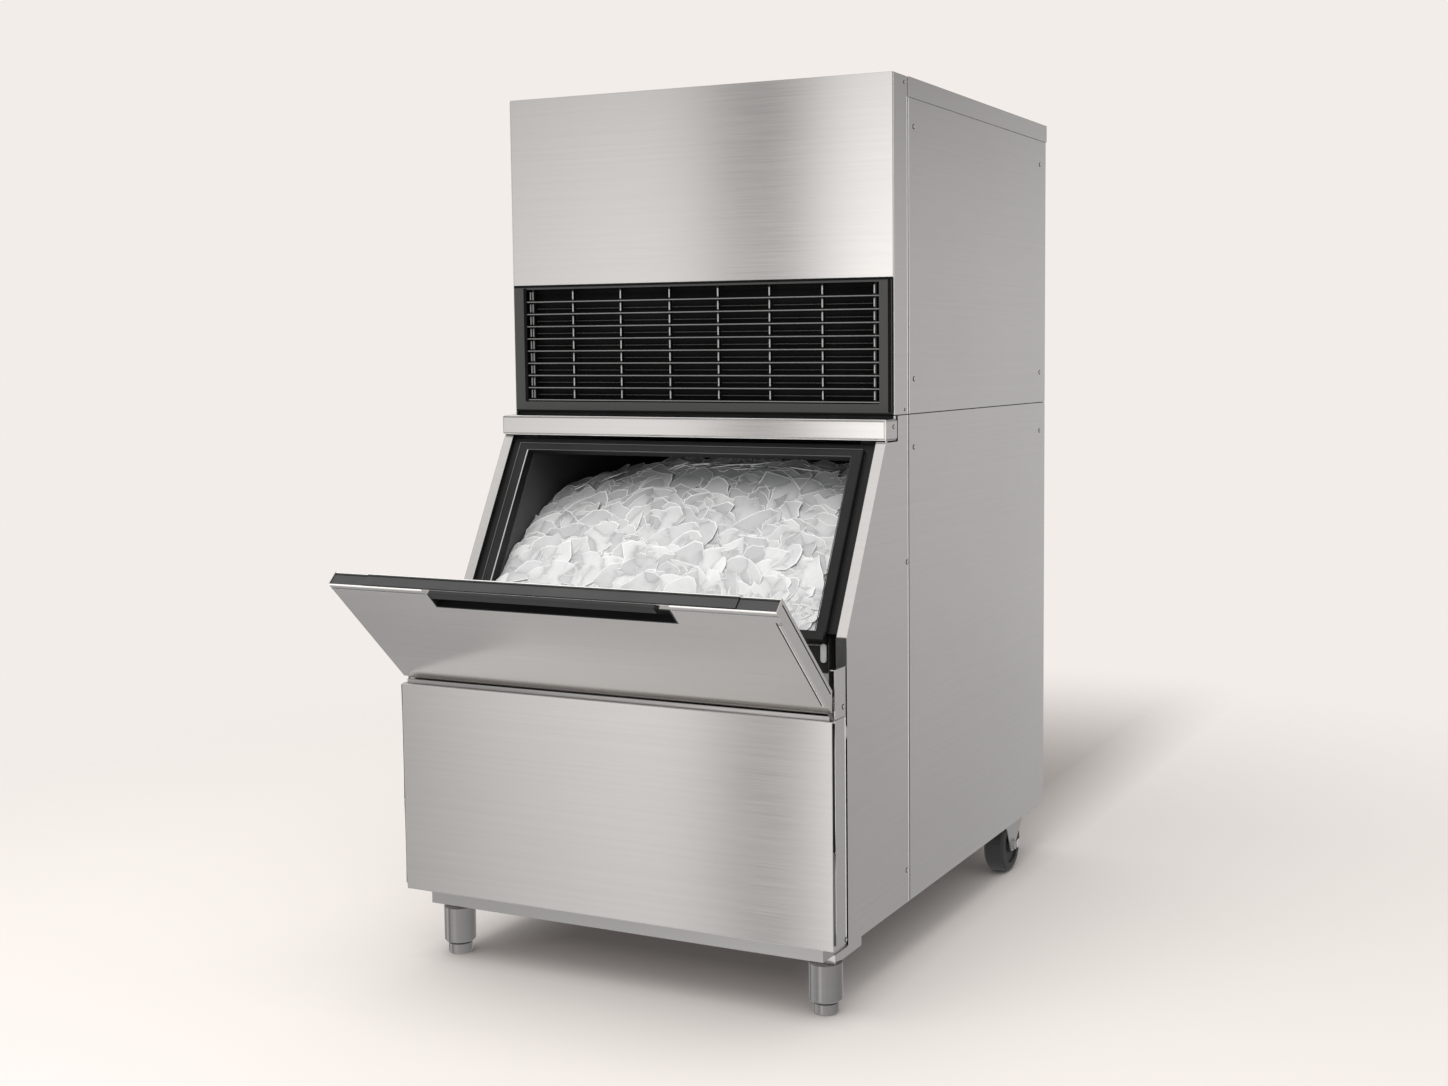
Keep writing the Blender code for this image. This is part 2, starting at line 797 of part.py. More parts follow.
def build_bin():
    """Floor, back, foam block, liner and drain."""
    floor = block("bin_floor_panel", steel_inner, (-inner_half, foam_front_low, floor_low),
                  (inner_half, back_inside, floor_low + floor_sheet))
    back = block("bin_back_panel", steel, (-inner_half, back_place - sheet, base_height),
                 (inner_half, back_place, bin_side_top))
    foam_low = floor_low + floor_sheet + gap
    foam_top = split_height
    deep = frame_depth + frame_back_clear
    bend = sill_height + (foam_front_high - slope_y(sill_height, deep)) / slant_run
    outline = [(foam_front_low, foam_low), (foam_front_low, foam_step), (foam_front_high, foam_step),
               (foam_front_high, bend), (slope_y(foam_top, deep), foam_top),
               (back_inside, foam_top), (back_inside, foam_low)]
    block_of_foam = plate("bin_insulation", foam, [outline], -inner_half, inner_half)
    rim = deep + gap
    grow = liner_wall
    low_along = frame_rail_inner_low
    high_along = frame_rail_inner_top

    def shell(out, rim_place):
        """Side outline of the liner, pushed out by a distance, its mouth at a depth on the slope."""
        return [mouth(low_along - out, rim_place), (liner_front + grow - out, liner_lip_low + grow - out),
                (liner_front + grow - out, liner_floor + grow - out),
                (liner_back - grow + out, liner_floor + grow - out),
                (liner_back - grow + out, liner_ceiling - grow + out),
                (liner_ceiling_front + grow - out, liner_ceiling - grow + out),
                mouth(high_along + out, rim_place)]

    cavity = plate("foam_cavity", None, [shell(grow + gap, deep - overrun)],
                   -liner_outer_half - gap, liner_outer_half + gap)
    liner = plate("bin_liner", dark_liner, [shell(grow, rim)], -liner_outer_half, liner_outer_half)
    room = plate("liner_room", None, [shell(0.0, rim - overrun)], -opening_half, opening_half)
    cut(liner, room)
    cut(block_of_foam, cavity)
    for side in (-1, 1):
        near = side * pocket_inner
        far = side * pocket_outer
        pocket = cylinder("arm_pocket", None, pocket_radius, min(near, far), max(near, far),
                          (pivot_y, pivot_z), "X")
        end = side * (inner_half + overrun)
        start = side * (pocket_outer - overrun / 2)
        hole = cylinder("stud_hole", None, stud_hole, min(start, end), max(start, end),
                        (pivot_y, pivot_z), "X", small_steps)
        cut(block_of_foam, pocket, hole)
    chute_low_corner = (chute_left - gap, barrel_y - chute_half_deep - gap, chute_low - overrun)
    chute_high_corner = (chute_right + gap, barrel_y + chute_half_deep + gap, split_height + overrun)
    cut(block_of_foam, block("foam_chute_hole", None, chute_low_corner, chute_high_corner))
    cut(liner, block("liner_chute_hole", None, chute_low_corner, chute_high_corner))
    pipe_front = drain_y - drain_radius
    drain_top = liner_floor + liner_wall + drain_flange_tall + gap
    drain = cylinder("drain_fitting", white, drain_radius, drain_pipe_z, drain_top - drain_flange_tall / 2,
                     (0.0, drain_y))
    run = cylinder("drain_run", None, drain_radius, pipe_front, back_place + inlet_reach,
                   (0.0, drain_pipe_z), "Y")
    flange = cylinder("drain_flange", None, drain_flange, drain_top - drain_flange_tall, drain_top,
                      (0.0, drain_y))
    bore_down = cylinder("drain_bore_down", None, drain_bore, drain_pipe_z, drain_top + overrun,
                         (0.0, drain_y))
    bore_back = cylinder("drain_bore_back", None, drain_bore, drain_y, back_place + inlet_reach + overrun,
                         (0.0, drain_pipe_z), "Y")
    cut(join(drain, run, flange), bore_down, bore_back)
    passage = drain_radius + gap
    for piece, label in ((liner, "liner"), (block_of_foam, "foam"), (floor, "floor")):
        cut(piece, cylinder(label + "_drain_hole", None, passage, floor_low - overrun,
                            liner_floor + liner_wall + overrun / 4, (0.0, drain_y)))
    cut(back, cylinder("back_drain_hole", None, passage, back_place - overrun, back_place + overrun,
                       (0.0, drain_pipe_z), "Y"))


def build_mouth():
    """Black moulding round the mouth, on the slanted plane, with a groove along its outer edge."""
    half = frame_half
    frame = block("opening_frame", black, (-half, 0.0, frame_low), (half, frame_depth, frame_top), slope)
    window = block("frame_window", None, (-opening_half, -overrun, frame_rail_inner_low),
                   (opening_half, frame_depth + overrun, frame_rail_inner_top), slope)
    cut(frame, window)
    for side in (-1, 1):
        near = side * low_rail_half
        far = side * (half + overrun)
        cut(frame, block("frame_foot_room", None, (min(near, far), -overrun, frame_low - overrun),
                         (max(near, far), frame_depth + overrun, frame_side_low), slope))
        near = side * (half - frame_groove)
        cut(frame, block("frame_groove", None, (min(near, far), -overrun, frame_low - overrun),
                         (max(near, far), frame_groove_deep, frame_top + overrun), slope))
    cut(frame, block("frame_top_groove", None, (-half - overrun, -overrun, frame_top - frame_top_groove),
                     (half + overrun, frame_groove_deep, frame_top + overrun), slope))


def build_front():
    """Hinge channel, subframe, lower panel and the hinge brackets beside the door."""
    low_face = door_outer + trough_stop_gap
    reach = pivot_y - (channel_lip_front + sheet)
    lip_top = pivot_z - (low_face - reach * math.cos(door_lean)) / math.sin(door_lean)
    trough_end = foam_front_high - gap
    path = [(channel_lip_front, lip_top), (channel_lip_front, trough_floor), (trough_end, trough_floor),
            (trough_end, trough_wall_top)]
    channel = folded("hinge_channel", steel_inner, path, -trough_half, trough_half, sheet, -1.0)
    for side in (-1, 1):
        near = side * (frame_half - gap)
        far = side * (trough_half + overrun)
        wing = block("channel_wing", None, (min(near, far), subframe_back, trough_floor - overrun),
                     (max(near, far), foam_front_high + overrun, trough_wall_top + overrun))
        near = side * (pocket_inner - gap)
        notch = block("channel_notch", None,
                      (min(near, far), trough_back - overrun / 2, trough_notch_low),
                      (max(near, far), foam_front_high + overrun, trough_wall_top + overrun))
        cut(channel, wing, notch)
    top = trough_floor + sheet / 2
    subframe = block("front_subframe", None, (-trough_half, subframe_front, subframe_low),
                     (trough_half, subframe_back, top))
    room = block("subframe_room", None,
                 (-trough_half + sheet, subframe_front + sheet, subframe_low + sheet),
                 (trough_half - sheet, subframe_back + overrun, trough_floor - sheet))
    cut(subframe, room)
    join(channel, subframe)
    panel = soften(block("lower_front_panel", steel, (-panel_half_width, 0.0, panel_low),
                         (panel_half_width, panel_return, panel_high)), panel_edge, 3)
    inside = panel_half_width - sheet
    lips = trough_half + gap
    hollow = block("panel_hollow", None, (-inside, sheet, panel_low + sheet),
                   (inside, panel_return - sheet, panel_high - sheet))
    way = block("panel_way", None, (-lips, sheet * 2, panel_low - overrun),
                (lips, panel_return + overrun, panel_high - sheet))
    above = block("panel_above", None, (-inside, panel_top_flange, panel_open_height),
                  (inside, panel_return + overrun, panel_high + overrun))
    cut(panel, hollow, way, above)
    for side, label in ((-1, "left"), (1, "right")):
        outer = side * bracket_outer
        inner = side * (bracket_outer - sheet)
        bracket = block("hinge_bracket_" + label, steel, (min(outer, inner), bracket_front, bracket_low),
                        (max(outer, inner), bracket_back, bracket_high))
        edge = side * bracket_inner
        ledge_low = bracket_high - sheet
        ledge = block("bracket_ledge_" + label, None, (min(outer, edge), bracket_front, ledge_low),
                      (max(outer, edge), bracket_back, bracket_high))
        join(bracket, ledge)


def build_nosing():
    """Folded steel nosing over the mouth, with side returns."""
    nosing = soften(block("nosing", steel, (-nosing_half_width, nosing_front, nosing_low),
                          (nosing_half_width, nosing_back, nosing_high)), nosing_round, 3)
    inside = body_half_width + gap
    hollow = block("nosing_hollow", None, (-inside, nosing_front + sheet, nosing_low + sheet),
                   (inside, nosing_back + overrun, nosing_high - sheet))
    below = block("nosing_below", None, (-inside, nosing_front + nosing_lip, nosing_low - overrun),
                  (inside, nosing_back + overrun, nosing_high - sheet * 2))
    behind = block("nosing_behind", None, (-inside, nosing_flange_back, nosing_low - overrun),
                   (inside, nosing_back + overrun, nosing_high + overrun))
    cut(nosing, hollow, below, behind)


def build_head_shell():
    """Deck, front panel, corner strips, sides, back and top cover."""
    deck_low = split_height + gap
    deck = block("head_base_deck", steel_inner, (-inner_half, deck_front, deck_low),
                 (inner_half, back_inside, deck_low + deck_sheet))
    cut(deck, block("deck_chute_hole", None,
                    (chute_left - gap, barrel_y - chute_half_deep - gap, deck_low - overrun),
                    (chute_right + gap, barrel_y + chute_half_deep + gap, deck_low + overrun)))
    seam = seam_place - gap
    front = block("head_front_panel", steel, (-inner_half, head_front, head_panel_low),
                  (inner_half, seam, top_height))
    inside = inner_half - sheet
    open_back = block("panel_room", None, (-inside, head_front + sheet, head_panel_low + sheet),
                      (inside, seam + overrun, top_height - sheet))
    low_back = block("panel_return_end", None,
                     (-inner_half - overrun, head_front + head_return, head_panel_low - overrun),
                     (inner_half + overrun, seam + overrun, top_height - sheet))
    cut(front, open_back, low_back)
    head_low = split_height
    for side, label in ((-1, "left"), (1, "right")):
        outer = side * body_half_width
        inner = side * (body_half_width - sheet)
        strip = block("corner_strip_" + label, steel, (min(outer, inner), strip_front, head_low),
                      (max(outer, inner), seam_front, top_height - sheet))
        edge = side * (body_half_width - strip_flange)
        flange = block("strip_flange_" + label, None,
                       (min(edge, outer), seam_front - sheet, split_height + deck_sheet + gap * 2),
                       (max(edge, outer), seam_front, top_height - sheet - gap))
        join(strip, flange)
        block("head_side_" + label, steel, (min(outer, inner), seam_back, head_low),
              (max(outer, inner), back_place, cap_rim_height - gap))
    back = block("head_back_panel", steel, (-inner_half, back_place - sheet, head_low),
                 (inner_half, back_place, cap_rim_height - gap))
    for side in (-1, 1):
        centre = side * vent_centre
        vent = block("back_vent", None, (centre - vent_wide / 2, back_place - overrun, vent_low),
                     (centre + vent_wide / 2, back_place + overrun, vent_low + vent_tall))
        repeat = vent.modifiers.new("rows", "ARRAY")
        repeat.count = vent_count
        repeat.use_relative_offset = False
        repeat.use_constant_offset = True
        repeat.constant_offset_displace = (0.0, 0.0, vent_pitch)
        cut(back, vent)
    hole = inlet_radius + gap
    cut(back, cylinder("inlet_hole", None, hole, back_place - overrun, back_place + overrun,
                       (inlet_x, inlet_z), "Y"))
    cut(back, block("power_hole", None,
                    (power_x - power_body_half_wide - gap, back_place - overrun,
                     power_z - power_body_half_tall - gap),
                    (power_x + power_body_half_wide + gap, back_place + overrun,
                     power_z + power_body_half_tall + gap)))
    half = body_half_width + plane_overhang
    cover = block("top_cover", steel, (-half, cap_front, cap_rim_height),
                  (half, back_place + plane_overhang, top_height))
    room_half = half - plane_overhang
    cut(cover, block("cover_room", None, (-room_half, cap_front + sheet, cap_rim_height - overrun),
                     (room_half, back_place, top_height - sheet)))


def build_grille():
    """Intake grille with slats and bars, and the filter behind it."""
    half = inner_half
    low = head_floor
    high = head_panel_low - gap
    window_low = low + grille_low_rail
    window_high = high - grille_top_rail
    window = half - grille_post - sheet * 2
    outline = [(-half, low), (half, low), (half, high), (-half, high)]
    hole = [(-window, window_low), (window, window_low), (window, window_high), (-window, window_high)]
    grille = plate("intake_grille", black, [outline, hole], grille_front, grille_front + grille_deep,
                   "front")
    slat_front = grille_front + sheet / 2
    slats = block("grille_slat", None, (-window - sheet, slat_front, slat_first - slat_thick / 2),
                  (window + sheet, slat_front + slat_deep, slat_first + slat_thick / 2))
    rows = slats.modifiers.new("rows", "ARRAY")
    rows.count = slat_count
    rows.use_relative_offset = False
    rows.use_constant_offset = True
    rows.constant_offset_displace = (0.0, 0.0, slat_pitch)
    join(grille, slats)
    bar_front = grille_front + slat_deep / 2
    for place in bar_places:
        bar = block("grille_bar", None, (place - bar_wide / 2, bar_front, window_low - sheet),
                    (place + bar_wide / 2, bar_front + bar_deep, window_high + sheet))
        join(grille, bar)
    filter_half = half - sheet
    air_filter = block("air_filter", dark_liner, (-filter_half, filter_front, low),
                       (filter_half, filter_front + filter_deep, filter_high))
    inner = filter_half - filter_rim
    cut(air_filter, block("filter_front_room", None, (-inner, filter_front - overrun, low + filter_rim),
                          (inner, filter_front + (filter_deep - filter_web) / 2, filter_high - filter_rim)))
    cut(air_filter, block("filter_back_room", None,
                          (-inner, filter_front + (filter_deep + filter_web) / 2, low + filter_rim),
                          (inner, filter_front + filter_deep + overrun, filter_high - filter_rim)))


def build_condensing_unit():
    """Condenser, shroud, fan, fan motor, compressor and the pipe between them."""
    x = unit_centre_x
    z = unit_centre_z
    back = condenser_front + condenser_deep
    condenser = block("condenser", alloy, (x - condenser_half, condenser_front, head_floor),
                      (x + condenser_half, back, z + condenser_half_tall))
    pitch = 2 * condenser_half / fin_count
    groove = block("fin_groove", None,
                   (x - condenser_half + pitch * (1 - fin_slot_share) / 2, condenser_front - overrun,
                    head_floor + fin_depth),
                   (x - condenser_half + pitch * (1 + fin_slot_share) / 2, condenser_front + fin_depth,
                    z + condenser_half_tall - fin_depth))
    columns = groove.modifiers.new("columns", "ARRAY")
    columns.count = fin_count
    columns.use_relative_offset = False
    columns.use_constant_offset = True
    columns.constant_offset_displace = (pitch, 0.0, 0.0)
    cut(condenser, groove)
    shroud_back = shroud_place + shroud_sheet
    shroud = block("fan_shroud", steel_inner, (x - condenser_half, shroud_place, head_floor),
                   (x + condenser_half, shroud_back, z + condenser_half_tall))
    foot = block("shroud_foot", None, (x - condenser_half, back + gap, head_floor),
                 (x + condenser_half, shroud_place + shroud_sheet / 2, head_floor + shroud_sheet))
    collar = cylinder("shroud_collar", None, shroud_hole + shroud_sheet, shroud_place,
                      shroud_back + shroud_collar, (x, z), "Y")
    cut(join(shroud, foot, collar), cylinder("shroud_hole", None, shroud_hole, shroud_place - overrun,
                                             shroud_back + shroud_collar + overrun, (x, z), "Y"))
    motor_back = motor_place + motor_long
    motor = cylinder("fan_motor", enamel, motor_radius, motor_place, motor_back, (x, z), "Y")
    shaft = cylinder("motor_shaft", None, fan_shaft_radius, fan_place - fan_hub_long / 2,
                     motor_place + overrun, (x, z), "Y", small_steps)
    arm = block("motor_arm", None, (x - motor_arm_reach, motor_place + motor_arm, z - motor_arm / 2),
                (x + motor_arm_reach, motor_place + motor_arm * 2, z + motor_arm / 2))
    join(motor, shaft, arm)
    for side in (-1, 1):
        end = x + side * motor_arm_reach
        leg = block("motor_leg", None,
                    (min(end, end - side * motor_arm), shroud_back + gap, z - motor_arm / 2),
                    (max(end, end - side * motor_arm), motor_place + motor_arm * 2, z + motor_arm / 2))
        join(motor, leg)
    build_fan(x, z)
    profile = compressor_profile()
    turned("compressor", enamel, profile, (compressor_x, compressor_y, head_floor))
    head = head_floor + compressor_tall
    start = (compressor_x, compressor_y, head + gap)
    over = (compressor_x, compressor_y, head + pipe_rise)
    shroud_side = x - condenser_half - pipe_rise
    drop_y = condenser_front + condenser_deep / 2
    join_z = z + condenser_half_tall / 2
    tube("refrigerant_pipe", copper,
         [start, over, (shroud_side, compressor_y - pipe_rise, head + pipe_rise),
          (shroud_side, drop_y, head + pipe_rise), (shroud_side, drop_y, join_z),
          (x - condenser_half - gap, drop_y, join_z)], pipe_radius)


def compressor_profile():
    """Can with rounded ends on a spread foot, from the top down."""
    radius = compressor_radius
    return [(0.0, compressor_tall), (radius / 3, compressor_tall),
            (radius * compressor_dome_share, compressor_tall - compressor_neck / 2),
            (radius - compressor_foot / 2, compressor_tall - compressor_neck),
            (radius, compressor_tall - compressor_neck * 2), (radius, compressor_foot * 2),
            (radius - compressor_foot, compressor_foot), (radius, compressor_foot / 2), (radius, 0.0),
            (0.0, 0.0)]


def build_fan(x, z):
    """Axial fan: hub with its bore and five pitched blades."""
    half = fan_hub_long / 2
    bore = fan_shaft_radius + gap
    ring = [(bore, half), (fan_hub_radius, half), (fan_hub_radius, -half), (bore, -half), (bore, half)]
    fan = turned("fan_blade", enamel, ring, (x, fan_place, z), "Y", small_steps)
    for index in range(fan_blades):
        blade = block("fan_vane", None, (fan_root, -fan_blade_width / 2, -fan_blade_thick / 2),
                      (fan_radius, fan_blade_width / 2, fan_blade_thick / 2), origin=(0.0, 0.0, 0.0))
        turn = Matrix.Rotation(2 * math.pi * index / fan_blades, 4, "Y")
        pitch = Matrix.Rotation(fan_pitch_angle, 4, "X")
        blade.matrix_basis = Matrix.Translation((x, fan_place, z)) @ turn @ pitch
        join(fan, blade)


def build_ice_making():
    """Gear motor, barrel, auger, chute, water reservoir and float."""
    x = barrel_x
    y = barrel_y
    gear = block("gear_motor", enamel, (x - gear_half, y - gear_half, head_floor),
                 (x + gear_half, y + gear_half, gear_top - gear_neck_tall))
    neck = cylinder("gear_neck", None, gear_neck_radius, gear_top - gear_neck_tall * 2, gear_top, (x, y))
    socket = cylinder("gear_socket", None, gear_socket_radius, gear_top - gear_socket, gear_top + overrun,
                      (x, y))
    cut(join(gear, neck), socket)
    turned("evaporator_barrel", steel_inner,
           [(barrel_bore, barrel_high), (barrel_radius, barrel_high), (barrel_radius, barrel_low),
            (gear_socket_radius, barrel_low), (gear_socket_radius, barrel_low + sheet * 2),
            (barrel_bore, barrel_low + sheet * 2), (barrel_bore, barrel_high)], (x, y, 0.0))
    build_auger(x, y)
    hood_low = barrel_high + gap
    hood_high = hood_low + chute_hood_tall
    wall = chute_wall
    outline = [(chute_left, chute_low), (chute_right, chute_low), (chute_right, hood_low),
               (chute_hood_end, hood_low), (chute_hood_end, hood_high), (chute_left, hood_high)]
    inner = [(chute_left + wall, chute_low - overrun), (chute_right - wall, chute_low - overrun),
             (chute_right - wall, hood_low + wall), (chute_hood_end - wall, hood_low + wall),
             (chute_hood_end - wall, hood_high - wall), (chute_left + wall, hood_high - wall)]
    near = y - chute_half_deep
    far = y + chute_half_deep
    chute = plate("ice_chute", white, [outline], near, far, "front")
    cut(chute, plate("chute_room", None, [inner], near + wall, far - wall, "front"))
    cut(chute, cylinder("chute_entry", None, chute_hole, hood_low - overrun, hood_low + wall + gap, (x, y)))
    build_reservoir()


def build_auger(x, y):
    """Shaft with a helical flight, as a strip wound round the axis and thickened."""
    low = gear_top - gear_socket + gap
    high = barrel_high - auger_end_clear
    shaft = turned("auger", alloy, [(0.0, high - low), (auger_shaft_radius, high - low),
                                    (auger_shaft_radius, 0.0), (0.0, 0.0)], (x, y, low), "Z", small_steps)
    start = barrel_low + sheet * 2 + auger_end_clear - low
    climb = high - auger_end_clear - low - start
    count = auger_turns * auger_steps
    wound = bmesh.new()
    ring = []
    for index in range(count + 1):
        turn = 2 * math.pi * index / auger_steps
        height = start + climb * index / count
        inner = auger_root
        ring.append([wound.verts.new((radius * math.cos(turn), radius * math.sin(turn), height + lift))
                     for radius, lift in ((inner, 0.0), (auger_flight_radius, 0.0),
                                          (auger_flight_radius, auger_flight_thick),
                                          (inner, auger_flight_thick))])
    for first, second in zip(ring, ring[1:]):
        for corner in range(4):
            after = (corner + 1) % 4
            wound.faces.new((first[corner], first[after], second[after], second[corner]))
    wound.faces.new(list(reversed(ring[0])))
    wound.faces.new(ring[-1])
    bmesh.ops.recalc_face_normals(wound, faces=wound.faces)
    mesh = bpy.data.meshes.new("auger_flight")
    wound.to_mesh(mesh)
    wound.free()
    join(shaft, add("auger_flight", mesh, None, (x, y, low)))


def build_reservoir():
    """Open tank on a post, with the float arm on a pin between its walls."""
    low = (tank_x - tank_half_x, tank_y - tank_half_y, tank_low)
    high = (tank_x + tank_half_x, tank_y + tank_half_y, tank_high)
    tank = block("water_reservoir", white, low, high)
    room = block("tank_room", None, (low[0] + tank_wall, low[1] + tank_wall, low[2] + tank_wall),
                 (high[0] - tank_wall, high[1] - tank_wall, high[2] + overrun))
    cut(tank, room)
    post = block("tank_post", None, (tank_x - tank_post_half, tank_y - tank_post_half, head_floor),
                 (tank_x + tank_post_half, tank_y + tank_post_half, tank_low + tank_wall / 2))
    pin_x = low[0] + tank_wall + float_bulb
    pin_z = tank_high - float_bulb
    pin = cylinder("float_pin", None, float_pin_radius, low[1] + tank_wall / 2, high[1] - tank_wall / 2,
                   (pin_x, pin_z), "Y", small_steps)
    join(tank, post, pin)
    arm = block("float_arm", white,
                (pin_x - float_arm_half * 2, tank_y - float_arm_half, pin_z - float_arm_half * 2),
                (pin_x + float_arm_long, tank_y + float_arm_half, pin_z + float_arm_half * 2),
                origin=(pin_x, tank_y, pin_z))
    bulb_x = pin_x + float_arm_long
    bulb = cylinder("float_bulb", None, float_bulb, pin_z - float_drop - float_bulb, pin_z + float_arm_half,
                    (bulb_x, tank_y))
    hole = cylinder("float_hole", None, float_hole, tank_y - tank_half_y, tank_y + tank_half_y,
                    (pin_x, pin_z), "Y", small_steps)
    cut(join(arm, bulb), hole)


def build_services():
    """Control box, water inlet and power inlet."""
    soften(block("control_box", alloy, (box_left, box_front, head_floor), (box_right, box_back, box_high)),
           box_edge, 2)
    end = back_place + inlet_reach
    start = end - inlet_long
    inlet = cylinder("water_inlet", alloy, inlet_radius, start, end, (inlet_x, inlet_z), "Y")
    flange = cylinder("inlet_flange", None, inlet_flange, back_inside - inlet_flange / 2, back_inside,
                      (inlet_x, inlet_z), "Y")
    bore = cylinder("inlet_bore", None, inlet_bore, start + inlet_flange / 2, end + overrun,
                    (inlet_x, inlet_z), "Y", small_steps)
    cut(join(inlet, flange), bore)
    body_front = back_place - power_deep
    face_low = back_place + gap
    face_high = face_low + power_face
    inlet_box = block("power_inlet", black,
                      (power_x - power_half_wide, face_low, power_z - power_half_tall),
                      (power_x + power_half_wide, face_high, power_z + power_half_tall))
    body = block("power_body", None,
                 (power_x - power_body_half_wide, body_front, power_z - power_body_half_tall),
                 (power_x + power_body_half_wide, face_low + power_face / 2, power_z + power_body_half_tall))
    cavity = block("power_cavity", None,
                   (power_x - power_body_half_wide + power_cavity_wall, face_high - power_cavity_deep,
                    power_z - power_body_half_tall + power_cavity_wall),
                   (power_x + power_body_half_wide - power_cavity_wall, face_high + overrun,
                    power_z + power_body_half_tall - power_cavity_wall))
    cut(join(inlet_box, body), cavity)


def door_layer(name, finish, inset, outer_depth, inner_depth, low, high):
    """A slab of the door, narrowed at its lower corners so that it swings clear of the brackets.

    The depths are distances from the hinge axis to its outer and inner face. The inset is from
    the door's sides.
    """
    half = door_half_width - inset
    slab = block(name, finish, (-half, -outer_depth, low), (half, -inner_depth, high), door_axis)
    for side in (-1, 1):
        near = side * (door_narrow_half - inset)
        far = side * (door_half_width + overrun)
        cut(slab, cylinder(name + "_corner", None, corner_radius + inset, min(near, far), max(near, far),
                           (0.0, 0.0), "X", round_steps * 2, door_axis))
    return slab


def build_door():
    """Skin, foam, inner panel, top strip, end blocks, handle, gasket and arms."""
    skin = door_layer("door_skin", steel, 0.0, door_outer, door_inner, door_low, door_top)
    room = door_layer("skin_room", None, door_sheet, door_outer - door_sheet, door_inner - overrun,
                      door_low + door_sheet, door_top + overrun)
    cut(skin, room)
    for side in (-1, 1):
        near = side * (door_half_width - door_sheet * 2)
        far = side * (door_half_width + overrun)
        cut(skin, block("side_slot", None, (min(near, far), -door_inner - side_slot_far, side_slot_low),
                        (max(near, far), -door_inner - side_slot_near, side_slot_high), door_axis))
    rail = block("side_rail", None, (door_half_width - rail_wide, -door_outer - rail_proud, rail_low),
                 (door_half_width, -door_outer + door_sheet / 2, rail_high), door_axis)
    join(skin, rail)
    fit = door_sheet + gap
    panel_depth = door_inner + door_inner_sheet
    filling = door_layer("door_foam", foam, fit, door_outer - fit, panel_depth + gap, door_low + fit,
                         strip_low - gap)
    inner_panel = door_layer("door_inner_panel", white, fit, panel_depth, door_inner, door_low + fit,
                             strip_low - gap)
    pad = block("door_pad", None, (-door_pad_half, -door_inner - door_inner_sheet / 2, door_pad_low),
                (door_pad_half, -door_inner + door_pad_raise, door_pad_high), door_axis)
    join(inner_panel, pad)
    end = door_half_width - fit
    middle = end - door_end_block
    block("door_top_strip", black, (-middle + gap, -door_outer + fit, strip_low),
          (middle - gap, -door_inner, door_top), door_axis)
    for side, label in ((-1, "left"), (1, "right")):
        near = side * (middle + end_block_gap)
        far = side * end
        block("door_end_block_" + label, black, (min(near, far), -door_outer + fit, strip_low),
              (max(near, far), -door_inner, door_top - end_block_step), door_axis)
    build_handle(skin, filling)
    build_gasket()
    build_arms()


def build_handle(skin, filling):
    """Cup pull let into the skin and the foam, with a lip over its upper edge."""
    face = -door_outer - gap
    cup = block("door_handle", black, (cup_left, face, cup_low), (cup_right, face + cup_deep, cup_high),
                door_axis)
    lip = block("handle_lip", None, (lip_left, face - lip_reach, cup_high - cup_wall),
                (lip_right, face, lip_top), door_axis)
    neck = block("handle_neck", None, (lip_left, face - lip_reach / 2, cup_high - cup_wall),
                 (lip_right, face + cup_wall, cup_high), door_axis)
    hollow = block("cup_hollow", None, (cup_left + cup_wall, face - overrun, cup_low + cup_wall),
                   (cup_right - cup_wall, face + cup_deep - cup_wall, cup_high - cup_wall), door_axis)
    room = block("cup_room", None, (cup_left - gap, face - overrun, cup_low - gap),
                 (cup_right + gap, face + cup_deep + gap, cup_high + gap), door_axis)
    cut(join(cup, lip, neck), hollow)
    cut(skin, room)
    cut(filling, room)


def build_gasket():
    """Ring of soft gasket on the inner panel, meeting the raised band of the opening frame."""
    half = low_rail_half - gasket_inset
    rings = []
    for inset in (0.0, gasket_width):
        side = half - inset
        low = gasket_low + inset - slope_to_pivot
        high = gasket_top - inset - slope_to_pivot
        rings.append([(-side, high), (-side, low), (side, low), (side, high)])
    plate("door_gasket", rubber, rings, -door_inner + gap, -plane_to_pivot - gap, "front", door_axis)


def build_arms():
    """Arms from the foot of the door to the studs in the side panels."""
    turns = [arm_arc_half - 2 * arm_arc_half * step / arm_arc_steps for step in range(arm_arc_steps + 1)]
    arc = [(arm_boss * math.cos(turn), arm_boss * math.sin(turn)) for turn in turns]
    root_y = -door_inner + gap
    outline = [(root_y, arm_root_low), (root_y, arm_root_high), *arc]
    for side, label in ((-1, "left"), (1, "right")):
        centre = side * arm_centre
        arm = plate("hinge_arm_" + label, steel_inner, [outline], centre - arm_thick / 2,
                    centre + arm_thick / 2, "side", door_axis)
        foot = block("arm_foot_" + label, None, (centre - arm_foot_half, root_y, arm_root_low),
                     (centre + arm_foot_half, root_y + arm_foot_thick, arm_root_high), door_axis)
        hole = cylinder("arm_hole_" + label, None, arm_hole, centre - arm_thick, centre + arm_thick,
                        (0.0, 0.0), "X", small_steps, door_axis)
        cut(join(arm, foot), hole)


def heap_height(x, y):
    """Height of the ice: a crest right of the middle, falling to the left wall and to the front."""
    left = max(0.0, (heap_crest_x - x) / (heap_crest_x + opening_half))
    right = max(0.0, (x - heap_crest_x) / (opening_half - heap_crest_x))
    crest = heap_crest - heap_left_fall * left ** heap_left_power - heap_right_fall * right ** 2
    ahead = max(0.0, (heap_crest_y - y) / (heap_crest_y - heap_front))
    behind = max(0.0, y - heap_crest_y)
    return crest - (crest - heap_front_low) * ahead ** heap_front_power - heap_back_slope * behind


